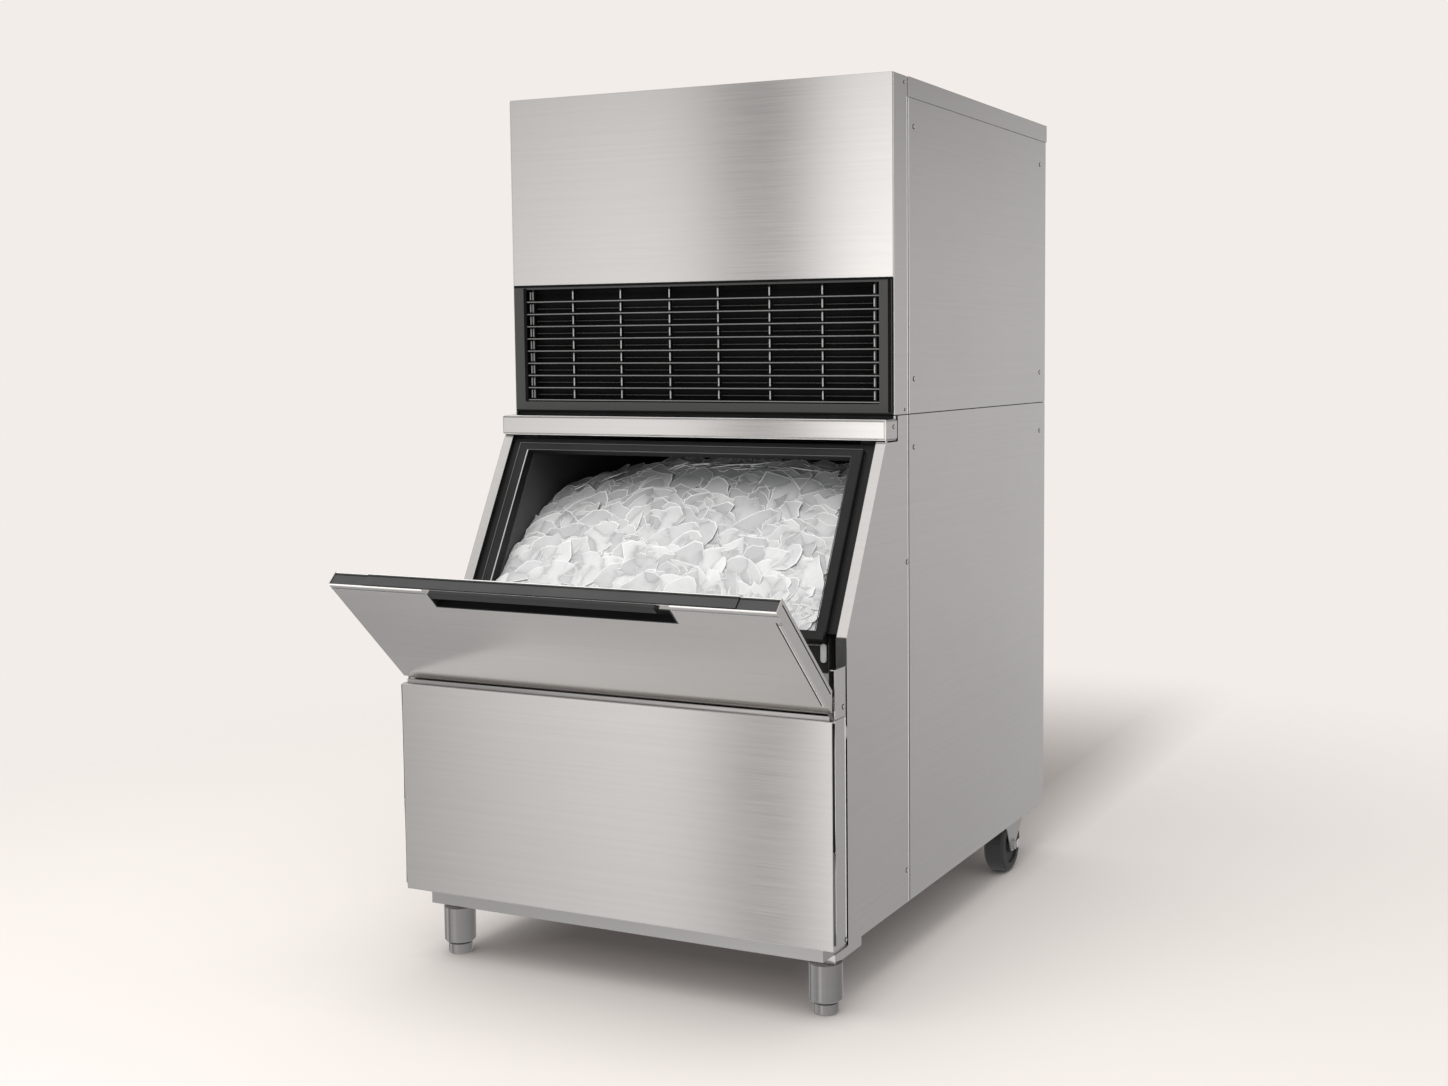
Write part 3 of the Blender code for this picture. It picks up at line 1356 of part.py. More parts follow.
def build_ice():
    """The heap of flakes as one solid with a curved top, standing on the liner's floor."""
    half = opening_half - gap
    back = liner_back - liner_wall - gap
    front_wall = liner_front + liner_wall + gap
    top = bmesh.new()
    bmesh.ops.create_grid(top, x_segments=heap_columns, y_segments=heap_rows, size=1.0)
    for vert in top.verts:
        vert.co.x = vert.co.x * half
        vert.co.y = heap_front + (vert.co.y + 1) / 2 * (back - heap_front)
        vert.co.z = heap_height(vert.co.x, vert.co.y)
    for level in (liner_lip_low + liner_wall * 2, liner_floor + liner_wall + gap):
        edges = [edge for edge in top.edges if edge.is_boundary]
        lower = bmesh.ops.extrude_edge_only(top, edges=edges)
        for item in lower["geom"]:
            if isinstance(item, bmesh.types.BMVert):
                item.co.y = max(item.co.y, front_wall)
                item.co.z = level
    bmesh.ops.holes_fill(top, edges=[edge for edge in top.edges if edge.is_boundary], sides=0)
    bmesh.ops.recalc_face_normals(top, faces=top.faces)
    mesh = bpy.data.meshes.new("ice_heap")
    top.to_mesh(mesh)
    top.free()
    drain_head = cylinder("heap_drain_room", None, drain_flange + gap, liner_floor,
                          liner_floor + liner_wall + drain_flange_tall + gap * 2, (0.0, drain_y))
    cut(add("ice_heap", mesh, ice), drain_head)


build_base()
build_casters()
build_bin_sides()
build_bin()
build_mouth()
build_front()
build_nosing()
build_head_shell()
build_grille()
build_condensing_unit()
build_ice_making()
build_services()
build_door()
build_ice()
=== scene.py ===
"""Looks of the flake ice maker: finishes, loose flakes, trims, screws and the studio round it."""

import json
import math

import bpy
import numpy as np
from mathutils import Matrix, Vector


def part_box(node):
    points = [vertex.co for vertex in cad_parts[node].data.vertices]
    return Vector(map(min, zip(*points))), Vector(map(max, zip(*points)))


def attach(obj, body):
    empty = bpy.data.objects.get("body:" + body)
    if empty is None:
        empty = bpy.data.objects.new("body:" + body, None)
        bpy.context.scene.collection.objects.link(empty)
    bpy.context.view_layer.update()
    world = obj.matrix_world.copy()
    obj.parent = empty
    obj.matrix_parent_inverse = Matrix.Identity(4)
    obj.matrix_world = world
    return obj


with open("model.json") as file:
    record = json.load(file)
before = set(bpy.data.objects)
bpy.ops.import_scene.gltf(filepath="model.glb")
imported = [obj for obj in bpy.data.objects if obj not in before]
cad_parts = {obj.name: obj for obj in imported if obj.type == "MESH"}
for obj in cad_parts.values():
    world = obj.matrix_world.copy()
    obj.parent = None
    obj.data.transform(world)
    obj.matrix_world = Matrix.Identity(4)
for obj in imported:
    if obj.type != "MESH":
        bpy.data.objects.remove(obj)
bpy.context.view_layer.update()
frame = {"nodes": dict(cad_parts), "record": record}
nodes = frame["nodes"]

# The part's origin lies this far behind the face of the lower panel, which is the cabinet's own zero.
HINGE = next(joint for joint in frame["record"]["behaviour"]["joints"] if joint["name"] == "door_hinge")
MIDDLE_Y = 0.1710 - HINGE["pos_m"][1]
SLANT = math.radians(27.92)
LEAN = math.radians(45.3)
SILL = np.array([0.0, 0.108 - MIDDLE_Y, 0.560])
PIVOT = np.array([0.0, 0.1710 - MIDDLE_Y, 0.4778])


# ---------------------------------------------------------------- node trees
def knit(tree, kind, wires=None, **settings):
    """Add a shader node; settings go to its properties or sockets, wires link sockets to it."""
    node = tree.nodes.new(kind)
    for key, value in settings.items():
        if hasattr(node, key):
            setattr(node, key, value)
        else:
            node.inputs[key.replace("_", " ")].default_value = value
    for key, source in (wires or {}).items():
        tree.links.new(source, node.inputs[key])
    return node


def start_finish(name, **sockets):
    """A material with a Principled shader, its plain values set on the shader's own sockets."""
    made = bpy.data.materials.new(name)
    made.use_nodes = True
    shader = made.node_tree.nodes["Principled BSDF"]
    for key, value in sockets.items():
        shader.inputs[key.replace("_", " ")].default_value = value
    return made, made.node_tree, shader


def stretched_noise(tree, stretch, detail=2.0, rough=0.5, source=None):
    """Noise on Object coordinates, squeezed or stretched along each axis."""
    if source is None:
        source = knit(tree, "ShaderNodeTexCoord").outputs["Object"]
    laid = knit(tree, "ShaderNodeMapping", {"Vector": source}, Scale=stretch)
    noise = knit(tree, "ShaderNodeTexNoise", {"Vector": laid.outputs["Vector"]}, Scale=1.0, Detail=detail,
                 Roughness=rough)
    return noise.outputs["Fac"]


def spread(tree, value, low, high, start=0.3, end=0.7):
    """Map a noise value onto a range."""
    return knit(tree, "ShaderNodeMapRange", {"Value": value}, From_Min=start, From_Max=end, To_Min=low,
                To_Max=high).outputs["Result"]


def tinted(tree, factor, dark, light):
    """A colour between two, by a factor."""
    mix = knit(tree, "ShaderNodeMix", data_type="RGBA")
    mix.inputs["A"].default_value = (*dark, 1.0)
    mix.inputs["B"].default_value = (*light, 1.0)
    tree.links.new(factor, mix.inputs["Factor"])
    return mix.outputs["Result"]


def edge_rounding(tree, radius, source=None):
    """A normal that turns softly over the edges, as a folded or moulded edge does."""
    rounding = knit(tree, "ShaderNodeBevel", samples=4)
    rounding.inputs["Radius"].default_value = radius
    return rounding.outputs["Normal"]


def brushed(name, colour, roughness, grain=0.018, streak=0.012, bevel=0.0012):
    """Brushed sheet steel: fine level scratches, faint streaks and soft clouds of wear."""
    made, tree, shader = start_finish(name, Metallic=1.0, Anisotropic=0.75, Anisotropic_Rotation=0.25)
    place = knit(tree, "ShaderNodeTexCoord")
    parted = knit(tree, "ShaderNodeSeparateXYZ", {"Vector": place.outputs["Normal"]})
    steep = knit(tree, "ShaderNodeMath", {0: parted.outputs["Z"]}, operation="ABSOLUTE")
    level = knit(tree, "ShaderNodeMath", {0: steep.outputs[0]}, operation="GREATER_THAN")
    level.inputs[1].default_value = 0.85
    scratches = []
    for across, along in ((1400.0, 9.0), (210.0, 0.9)):
        upright = stretched_noise(tree, (along, along, across), source=place.outputs["Object"])
        flat = stretched_noise(tree, (along, across, along), source=place.outputs["Object"])
        mix = knit(tree, "ShaderNodeMix", {"Factor": level.outputs[0]}, data_type="FLOAT")
        tree.links.new(upright, mix.inputs["A"])
        tree.links.new(flat, mix.inputs["B"])
        scratches.append(mix.outputs["Result"])
    clouds = stretched_noise(tree, (2.2, 2.2, 3.1), 3.0, 0.55, place.outputs["Object"])
    tone = knit(tree, "ShaderNodeMath", {0: spread(tree, scratches[0], 1.0 - grain, 1.0 + grain),
                                         1: spread(tree, scratches[1], 1.0 - streak, 1.0 + streak)},
                operation="MULTIPLY")
    worn = knit(tree, "ShaderNodeMath", {0: tone.outputs[0], 1: spread(tree, clouds, 0.975, 1.02)},
                operation="MULTIPLY")
    base = knit(tree, "ShaderNodeVectorMath", {"Scale": worn.outputs[0]}, operation="SCALE")
    base.inputs[0].default_value = colour
    tree.links.new(base.outputs[0], shader.inputs["Base Color"])
    rubbed = knit(tree, "ShaderNodeMath", {0: spread(tree, scratches[0], roughness - 0.02, roughness + 0.02),
                                           1: spread(tree, clouds, -0.01, 0.02)}, operation="ADD")
    tree.links.new(rubbed.outputs[0], shader.inputs["Roughness"])
    bump = knit(tree, "ShaderNodeBump", {"Height": scratches[0], "Normal": edge_rounding(tree, bevel)},
                Strength=0.02, Distance=0.0002)
    tree.links.new(bump.outputs["Normal"], shader.inputs["Normal"])
    turn = knit(tree, "ShaderNodeTangent", direction_type="RADIAL", axis="Z")
    tree.links.new(turn.outputs["Tangent"], shader.inputs["Tangent"])
    return made


def moulded(name, dark, light, roughness, grain=700.0, bump_strength=0.12, bevel=0.0012, **sockets):
    """Moulded plastic, rubber or paint: fine grain, faint clouds and softly rounded edges."""
    made, tree, shader = start_finish(name, **sockets)
    fine = stretched_noise(tree, (grain, grain, grain), 2.0)
    clouds = stretched_noise(tree, (9.0, 9.0, 9.0), 3.0, 0.6)
    tree.links.new(tinted(tree, spread(tree, clouds, 0.0, 1.0), dark, light), shader.inputs["Base Color"])
    tree.links.new(spread(tree, fine, roughness - 0.05, roughness + 0.06), shader.inputs["Roughness"])
    bump = knit(tree, "ShaderNodeBump", {"Height": fine, "Normal": edge_rounding(tree, bevel)},
                Strength=bump_strength, Distance=0.0003)
    tree.links.new(bump.outputs["Normal"], shader.inputs["Normal"])
    return made


def grille_finish(name):
    """Black moulding with grey, randomly scuffed front faces and an inside darkened by painted shade."""
    made, tree, shader = start_finish(name, Roughness=0.5, Specular_IOR_Level=0.35)
    place = knit(tree, "ShaderNodeTexCoord").outputs["Object"]
    parted = knit(tree, "ShaderNodeSeparateXYZ", {"Vector": place})
    fine = stretched_noise(tree, (500.0, 500.0, 500.0), source=place)
    # Painted shade: behind the front faces the moulding's colour falls to near black; random scuffs are added.
    painted_shade_inside = spread(tree, parted.outputs["Y"], 0.0, 1.0, 0.2905 - MIDDLE_Y, 0.2925 - MIDDLE_Y)
    worn = knit(tree, "ShaderNodeMath", {0: painted_shade_inside, 1: spread(tree, fine, -0.06, 0.06)}, operation="ADD")
    tree.links.new(tinted(tree, worn.outputs[0], (0.050, 0.050, 0.048), (0.0035, 0.0035, 0.0035)),
                   shader.inputs["Base Color"])
    bump = knit(tree, "ShaderNodeBump", {"Height": fine, "Normal": edge_rounding(tree, 0.0008)},
                Strength=0.08, Distance=0.0003)
    tree.links.new(bump.outputs["Normal"], shader.inputs["Normal"])
    return made


def ice_finish(name):
    """Wet flake ice: milky, with painted shade darkening it further in, under the head, and brighter at the rims."""
    made, tree, shader = start_finish(name, IOR=1.31, Roughness=0.28)
    rim = knit(tree, "ShaderNodeAttribute", attribute_name="rim").outputs["Fac"]
    tone = knit(tree, "ShaderNodeAttribute", attribute_name="tone").outputs["Fac"]
    cloud = stretched_noise(tree, (60.0, 60.0, 60.0), 3.0, 0.6)
    milk = knit(tree, "ShaderNodeMath", {0: spread(tree, cloud, -0.10, 0.10), 1: tone}, operation="ADD")
    body = tinted(tree, milk.outputs[0], (0.50, 0.508, 0.51), (0.74, 0.75, 0.75))
    place = knit(tree, "ShaderNodeSeparateXYZ", {"Vector": knit(tree, "ShaderNodeTexCoord").outputs["Object"]})
    # Painted shade: the ice's colour falls to 0.4 of itself from the front of the heap to the back.
    clear = spread(tree, place.outputs["Y"], 1.0, 0.40, 0.170 - MIDDLE_Y, 0.350 - MIDDLE_Y)
    body_with_painted_shade = knit(tree, "ShaderNodeVectorMath", {0: body, "Scale": clear}, operation="SCALE")
    edge = knit(tree, "ShaderNodeMix", {"Factor": rim}, data_type="RGBA")
    tree.links.new(body_with_painted_shade.outputs[0], edge.inputs["A"])
    edge.inputs["B"].default_value = (0.90, 0.91, 0.91, 1.0)
    tree.links.new(edge.outputs["Result"], shader.inputs["Base Color"])
    shader.inputs["Subsurface Weight"].default_value = 0.3
    shader.inputs["Subsurface Radius"].default_value = (1.0, 1.0, 1.0)
    shader.inputs["Subsurface Scale"].default_value = 0.008
    bump = knit(tree, "ShaderNodeBump", {"Height": cloud}, Strength=0.12, Distance=0.002)
    tree.links.new(bump.outputs["Normal"], shader.inputs["Normal"])
    return made


steel = brushed("brushed_steel", (0.60, 0.578, 0.560), 0.15)
plain = brushed("plain_steel", (0.46, 0.447, 0.435), 0.36)
black = moulded("black_plastic", (0.028, 0.028, 0.028), (0.042, 0.042, 0.043), 0.42)
lining = moulded("liner_plastic", (0.050, 0.051, 0.051), (0.066, 0.067, 0.067), 0.48, 420.0)
foam = moulded("insulation_foam", (0.040, 0.040, 0.041), (0.062, 0.062, 0.064), 0.92, 260.0, 0.8)
white = moulded("white_plastic", (0.72, 0.72, 0.70), (0.82, 0.82, 0.80), 0.42)
rubber = moulded("black_rubber", (0.014, 0.014, 0.014), (0.030, 0.030, 0.030), 0.62, 900.0, 0.3)
enamel = moulded("black_enamel", (0.020, 0.020, 0.021), (0.036, 0.036, 0.038), 0.32, 300.0, 0.06)
copper = brushed("copper", (0.72, 0.40, 0.26), 0.28, bevel=0.0006)
alloy = brushed("aluminium", (0.66, 0.67, 0.68), 0.38, bevel=0.0008)
ice = ice_finish("flake_ice")
# Near black of the air filter's mesh, and of painted shade in gaps and seams.
mesh_dark_and_painted_shade = moulded("dark_mesh", (0.004, 0.004, 0.004), (0.009, 0.009, 0.009), 0.8, 500.0, 0.3,
                   Specular_IOR_Level=0.08)
# Grey of painted highlights on the grille's edges, and of painted shade on the lower panel's returns.
slat_painted_light = moulded("slat_edge", (0.160, 0.162, 0.160), (0.200, 0.202, 0.200), 0.30, 500.0, 0.05)
# Light grey of the hinge tongues, and of painted highlights on the grille's ribs and the mouth's lit bead.
bar_painted_highlight = moulded("bar_edge", (0.38, 0.385, 0.38), (0.46, 0.465, 0.46), 0.34, 500.0, 0.05)
# Dark grey of the rear louvres, and of the lit parts of the mouth's bead and moulding step as painted light.
louvre_grey = moulded("louvre_grey", (0.085, 0.086, 0.085), (0.110, 0.111, 0.110), 0.40, 500.0, 0.05)
# Near white of painted highlights on folded edges.
bright_edge = moulded("bright_edge", (0.84, 0.83, 0.81), (0.90, 0.89, 0.87), 0.30, 500.0, 0.05)
# Near black of the mouth's frame, and of painted shade round screws, at the sill, on the step and on the returns.
frame_black = moulded("frame_black", (0.0075, 0.0075, 0.0075), (0.013, 0.013, 0.013), 0.55, 600.0, 0.2,
                      Specular_IOR_Level=0.28)
# Black of the door's handle, and of painted shadow lines on the door.
grip_black = moulded("grip_black", (0.012, 0.012, 0.012), (0.018, 0.018, 0.018), 0.42, 600.0, 0.1,
                     Specular_IOR_Level=0.35)
# Dark grey of the sill's covers and the grille's end edge, and painted shade on the right side of the mouth's bead.
block_grey = moulded("block_grey", (0.034, 0.034, 0.033), (0.048, 0.048, 0.046), 0.5, 500.0, 0.1)
screw_steel = brushed("screw_steel", (0.62, 0.605, 0.59), 0.30, bevel=0.0004)
leg_steel = brushed("leg_steel", (0.29, 0.280, 0.271), 0.22)
FINISHES = {"frame_black": frame_black, "grip_black": grip_black, "block_grey": block_grey,
            "leg_steel": leg_steel, "screw_steel": screw_steel, "dark_mesh": mesh_dark_and_painted_shade,
            "slat_edge": slat_painted_light, "bar_edge": bar_painted_highlight, "louvre_grey": louvre_grey,
            "bright_edge": bright_edge,
            "brushed_steel": steel, "plain_steel": plain, "black_plastic": black, "liner_plastic": lining,
            "insulation_foam": foam, "white_plastic": white, "black_rubber": rubber, "black_enamel": enamel,
            "copper": copper, "aluminium": alloy, "flake_ice": ice}


def dress_nodes():
    """Give each node of the part the finish of its slot in the record."""
    for part in frame["record"]["subparts"]:
        item = nodes[part["node"]]
        item.data.materials.clear()
        item.data.materials.append(FINISHES[part["material_slot"]])
    own = {"air_filter": mesh_dark_and_painted_shade, "opening_frame": frame_black, "door_handle": grip_black,
           "intake_grille": grille_finish("grille_plastic"), "leg_sleeve_left": leg_steel,
           "leg_sleeve_right": leg_steel, "foot_left": leg_steel, "foot_right": leg_steel}
    for name, finish in own.items():
        nodes[name].data.materials[0] = finish


# ---------------------------------------------------------------- pieces
def piece(name, points, faces, slot, body="cabinet", smooth=None):
    """Make a mesh piece from points and faces, with its finish, riding on a body."""
    mesh = bpy.data.meshes.new(name)
    mesh.from_pydata(points.tolist(), [], [list(face) for face in faces])
    mesh.validate()
    item = bpy.data.objects.new(name, mesh)
    bpy.context.scene.collection.objects.link(item)
    mesh.materials.append(FINISHES[slot])
    if smooth is not None:
        mesh.shade_smooth()
        mesh.set_sharp_from_angle(angle=math.radians(smooth))
    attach(item, body)
    return item


def rods(name, starts, ends, wide, tall, slot, body="cabinet", steps=8):
    """Straight rods of oval section: at each end the section is wide times a cosine across and tall
    times a sine upwards, round the line from the start to the end, closed by a pole at each end."""
    starts, ends = np.asarray(starts, float), np.asarray(ends, float)
    way = ends - starts
    way = way / np.linalg.norm(way, axis=1, keepdims=True)
    near = np.where(np.abs(way[:, 2:]) < 0.9, np.array([[0.0, 0.0, 1.0]]), np.array([[0.0, 1.0, 0.0]]))
    across = np.cross(near, way)
    across /= np.linalg.norm(across, axis=1, keepdims=True)
    up = np.cross(way, across)
    turn = np.linspace(0, 2 * np.pi, steps, endpoint=False)
    wide, tall = (np.broadcast_to(size, len(starts))[:, None, None] / 2 for size in (wide, tall))
    section = (wide * np.cos(turn)[None, :, None] * across[:, None]
               + tall * np.sin(turn)[None, :, None] * up[:, None])
    count = len(starts)
    points = np.concatenate([starts[:, None], starts[:, None] + section, ends[:, None] + section,
                             ends[:, None]], 1)
    first = np.arange(steps)
    after = (first + 1) % steps
    caps = np.concatenate([np.stack([np.zeros(steps, int), 1 + after, 1 + first], -1),
                           np.stack([1 + steps + first, 1 + steps + after, np.full(steps, 1 + 2 * steps)], -1)])
    walls = np.stack([1 + first, 1 + after, 1 + steps + after, 1 + steps + first], -1)
    offset = np.arange(count)[:, None, None] * (2 + 2 * steps)
    faces = [*map(tuple, (caps[None] + offset).reshape(-1, 3).tolist()),
             *map(tuple, (walls[None] + offset).reshape(-1, 4).tolist())]
    return piece(name, points.reshape(-1, 3), faces, slot, body, 50)


def grid_faces(rows, columns, around=True, start=0):
    """Quads of a grid of rows by columns, closed round its columns where asked."""
    row, column = np.meshgrid(np.arange(rows - 1), np.arange(columns if around else columns - 1), indexing="ij")
    after = (column + 1) % columns
    quads = np.stack([row * columns + column, row * columns + after, (row + 1) * columns + after,
                      (row + 1) * columns + column], -1).reshape(-1, 4)
    return quads + start


# ---------------------------------------------------------------- ice
OPENING_HALF = 0.3023
HEAP_FRONT = 0.142
HEAP_BACK = 0.9847


def heap_height(x, y):
    """Height of the heap at cabinet places: a crest right of the middle, falling to the left wall
    as a power of the distance, and to the front as a power of the way from the crest."""
    left = np.maximum(0.0, (0.060 - x) / (0.060 + OPENING_HALF))
    right = np.maximum(0.0, (x - 0.060) / (OPENING_HALF - 0.060))
    crest = 0.7945 - 0.060 * left ** 2 - 0.018 * right ** 2
    ahead = np.maximum(0.0, (0.340 - y) / (0.340 - HEAP_FRONT))
    behind = np.maximum(0.0, y - 0.340)
    return crest - (crest - 0.598) * ahead ** 1.25 - 0.09 * behind


def flake_pile(name, count, low_y, high_y, size, seed):
    """Loose flakes on the heap. Each is a thin plate: in polar form its rim lies at a radius of one
    plus six cosines of random height and phase, it is bowed along one line, and its underside lies a
    little below. Plates lie along the heap, somewhat steeper than it, so that their upper rims show."""
    draw = np.random.default_rng(seed)
    steps = 18
    across = (draw.random(count) * 2 - 1) * (OPENING_HALF - 0.020)
    back = low_y + (high_y - low_y) * draw.random(count)
    scale = size * (0.60 + 0.75 * draw.random(count))
    turn = np.linspace(0.0, 2 * np.pi, steps, endpoint=False)[None, :]
    rim = np.ones((count, steps))
    for wave, share in ((1, 0.08), (2, 0.13), (3, 0.12), (4, 0.07), (5, 0.06), (7, 0.045)):
        rim += share * draw.normal(size=(count, 1)) * np.cos(wave * turn + 2 * np.pi * draw.random((count, 1)))
    rim = np.clip(rim, 0.5, 1.5)
    u = rim * np.cos(turn) * (1.10 + 0.45 * draw.random((count, 1)))
    v = rim * np.sin(turn) * 0.85
    bow = -0.08 + 0.05 * draw.normal(size=(count, 1))
    twist = 0.05 * draw.normal(size=(count, 1))
    rings = []
    for share in (0.0, 0.5, 0.94, 1.0):
        a, b = u * share, v * share
        rings.append(np.stack([a, b, bow * (a * a - 0.5) + twist * a * b], -1))
    thick = 0.0010 + 0.0008 * draw.random((count, 1))
    top = np.concatenate([rings[0][:, :1], *rings[1:]], 1) * scale[:, None, None]
    under = top.copy()
    under[..., 2] -= thick
    inset = 1.0 - 0.0008 / np.maximum(scale[:, None], 0.008)
    under[:, 1 + 2 * steps:, :2] *= inset[..., None]
    plate = np.concatenate([top, under], 1)
    step = 0.004
    slope_x = (heap_height(across + step, back) - heap_height(across - step, back)) / (2 * step)
    slope_y = (heap_height(across, back + step) - heap_height(across, back - step)) / (2 * step)
    up = np.stack([-slope_x, -slope_y, np.ones(count)], -1)
    up /= np.linalg.norm(up, axis=1, keepdims=True)
    up += draw.normal(size=(count, 3)) * 0.065 + np.array([-0.03, -0.13, 0.0])
    up /= np.linalg.norm(up, axis=1, keepdims=True)
    side = np.cross(up, np.array([0.0, 1.0, 0.0]) + 0.45 * draw.normal(size=(count, 3)))
    side /= np.linalg.norm(side, axis=1, keepdims=True)
    other = np.cross(up, side)
    lift = heap_height(across, back) + 0.001 + 0.006 * draw.random(count)
    spot = np.stack([across, back, lift], -1)
    placed = (spot[:, None, :] + plate[..., :1] * side[:, None, :] + plate[..., 1:2] * other[:, None, :]
              + plate[..., 2:] * up[:, None, :])
    placed[..., 0] = np.clip(placed[..., 0], -OPENING_HALF + 0.0012, OPENING_HALF - 0.0012)
    plane = SILL[1] + MIDDLE_Y + np.tan(SLANT) * (placed[..., 2] - SILL[2])
    placed[..., 1] += np.maximum(0.0, (plane + 0.010 - placed[..., 1]).max(axis=1))[:, None]
    placed[..., 1] -= MIDDLE_Y
    placed[..., 2] = np.maximum(placed[..., 2], 0.550)
    one = 1 + 3 * steps
    first = np.arange(steps)
    after = (first + 1) % steps
    fan = np.stack([np.zeros(steps, int), 1 + first, 1 + after], -1)
    bands = [np.stack([low + first, low + steps + first, low + steps + after, low + after], -1)
             for low in (1, 1 + steps)]
    outer = 1 + 2 * steps
    side_band = np.stack([outer + first, one + outer + first, one + outer + after, outer + after], -1)
    offsets = np.arange(count)[:, None, None] * (2 * one)
    triangles = np.concatenate([fan, fan[:, ::-1] + one])[None] + offsets
    quads = np.concatenate([*bands, *[band[:, ::-1] + one for band in bands], side_band])[None] + offsets
    points = placed.reshape(-1, 3)
    faces = [*map(tuple, triangles.reshape(-1, 3).tolist()), *map(tuple, quads.reshape(-1, 4).tolist())]
    item = piece(name, points, faces, "flake_ice", smooth=50)
    rim_share = np.concatenate([np.zeros(1 + 2 * steps), np.ones(steps)] * 2)
    paint(item, "rim", np.tile(rim_share, count))
    paint(item, "tone", np.repeat(draw.random(count), 2 * one))
    return item


def paint(item, name, values):
    """Keep a number at each point of a piece for its finish to read."""
    attribute = item.data.attributes.new(name, "FLOAT", "POINT")
    attribute.data.foreach_set("value", np.asarray(values, np.float32))


def fill_bin():
    """Cover the heap with flakes, smaller at the back than at the front."""
    flake_pile("flakes_front", 720, 0.138, 0.300, 0.029, 11)
    flake_pile("flakes_crest", 660, 0.280, 0.480, 0.025, 23)
    flake_pile("flakes_back", 420, 0.470, 0.960, 0.028, 37)
    flake_pile("flakes_sill", 190, 0.114, 0.144, 0.020, 51)


# ---------------------------------------------------------------- intake grille
def trim_grille():
    """Painted highlights on the slats' fronts and ribs between, louvres behind, painted shadow in seams."""
    front = 0.290 - MIDDLE_Y
    levels = 0.9023 + 0.0208 * np.arange(9)
    half = 0.3327
    # Painted highlights: pale grey rods along the slats' front edges.
    starts = [(-half, front + 0.0009, z) for z in levels]
    rods("slat_edges", starts, [(half, y, z) for _, y, z in starts], 0.0016, 0.0018, "slat_edge")
    # Painted highlights: light grey rods on the ribs between the slats.
    places = (-0.237, -0.143, -0.049, 0.042, 0.136, 0.230, 0.320)
    clear = 0.0036
    gaps = [(low + clear, low + 0.0208 - clear) for low in levels]
    starts = [(x, front + 0.0046, low) for x in places for low, _ in gaps]
    ends = [(x, front + 0.0046, high) for x in places for _, high in gaps]
    rods("rib_edges", starts, ends, 0.0026, 0.0016, "bar_edge")
    # Painted highlights: grey rods on the two columns at the left end.
    columns = (-0.3222, -0.3172)
    starts = [(x, front + 0.0038, low) for x in columns for low, _ in gaps]
    ends = [(x, front + 0.0038, high) for x in columns for _, high in gaps]
    rods("column_edges", starts, ends, 0.0030, 0.0016, "slat_edge")
    starts = [(-half, front + 0.0135, z) for z in levels[:-1] + 0.0092]
    rods("rear_louvres", starts, [(half, y, z) for _, y, z in starts], 0.0030, 0.0016, "louvre_grey")
    # Painted shade: a near black slab in the gap at the right end.
    rounded_slabs("grille_end_gap", [(0.3490, 0.2898 - MIDDLE_Y, 0.9909)], [(0.0042, 0.0003, 0.1040)], 0.0004,
                  "dark_mesh")
    rods("grille_end_edge", [(0.3512, 0.2892 - MIDDLE_Y, 0.888)], [(0.3512, 0.2892 - MIDDLE_Y, 1.094)],
         0.0014, 0.0010, "block_grey")
    # Painted shadow lines: dark rods along the upper and lower seams and up the left end.
    seams = ((-0.352, 1.0952, 0.352, 1.0952, 0.0012, 0.0036), (-0.352, 0.8838, 0.352, 0.8838, 0.0026, 0.0038),
             (-0.3305, 0.900, -0.3305, 1.092, 0.0062, 0.0012))
    rods("grille_seams", [(low_x, front - 0.0006, low_z) for low_x, low_z, _, _, _, _ in seams],
         [(high_x, front - 0.0006, high_z) for _, _, high_x, high_z, _, _ in seams],
         np.array([row[4] for row in seams]), np.array([row[5] for row in seams]), "dark_mesh")


def on_slope(across, along, proud):
    """A place on the slanted opening: across the machine, along the slope from the sill, and proud."""
    return (across, SILL[1] + along * math.sin(SLANT) - proud * math.cos(SLANT),
            SILL[2] + along * math.cos(SLANT) + proud * math.sin(SLANT))


def on_door(across, height, outward):
    """A place on the open door: across it, up it from the hinge line, and outward from the hinge line."""
    return (across, PIVOT[1] - outward * math.cos(LEAN) - height * math.sin(LEAN),
            PIVOT[2] - outward * math.sin(LEAN) + height * math.cos(LEAN))


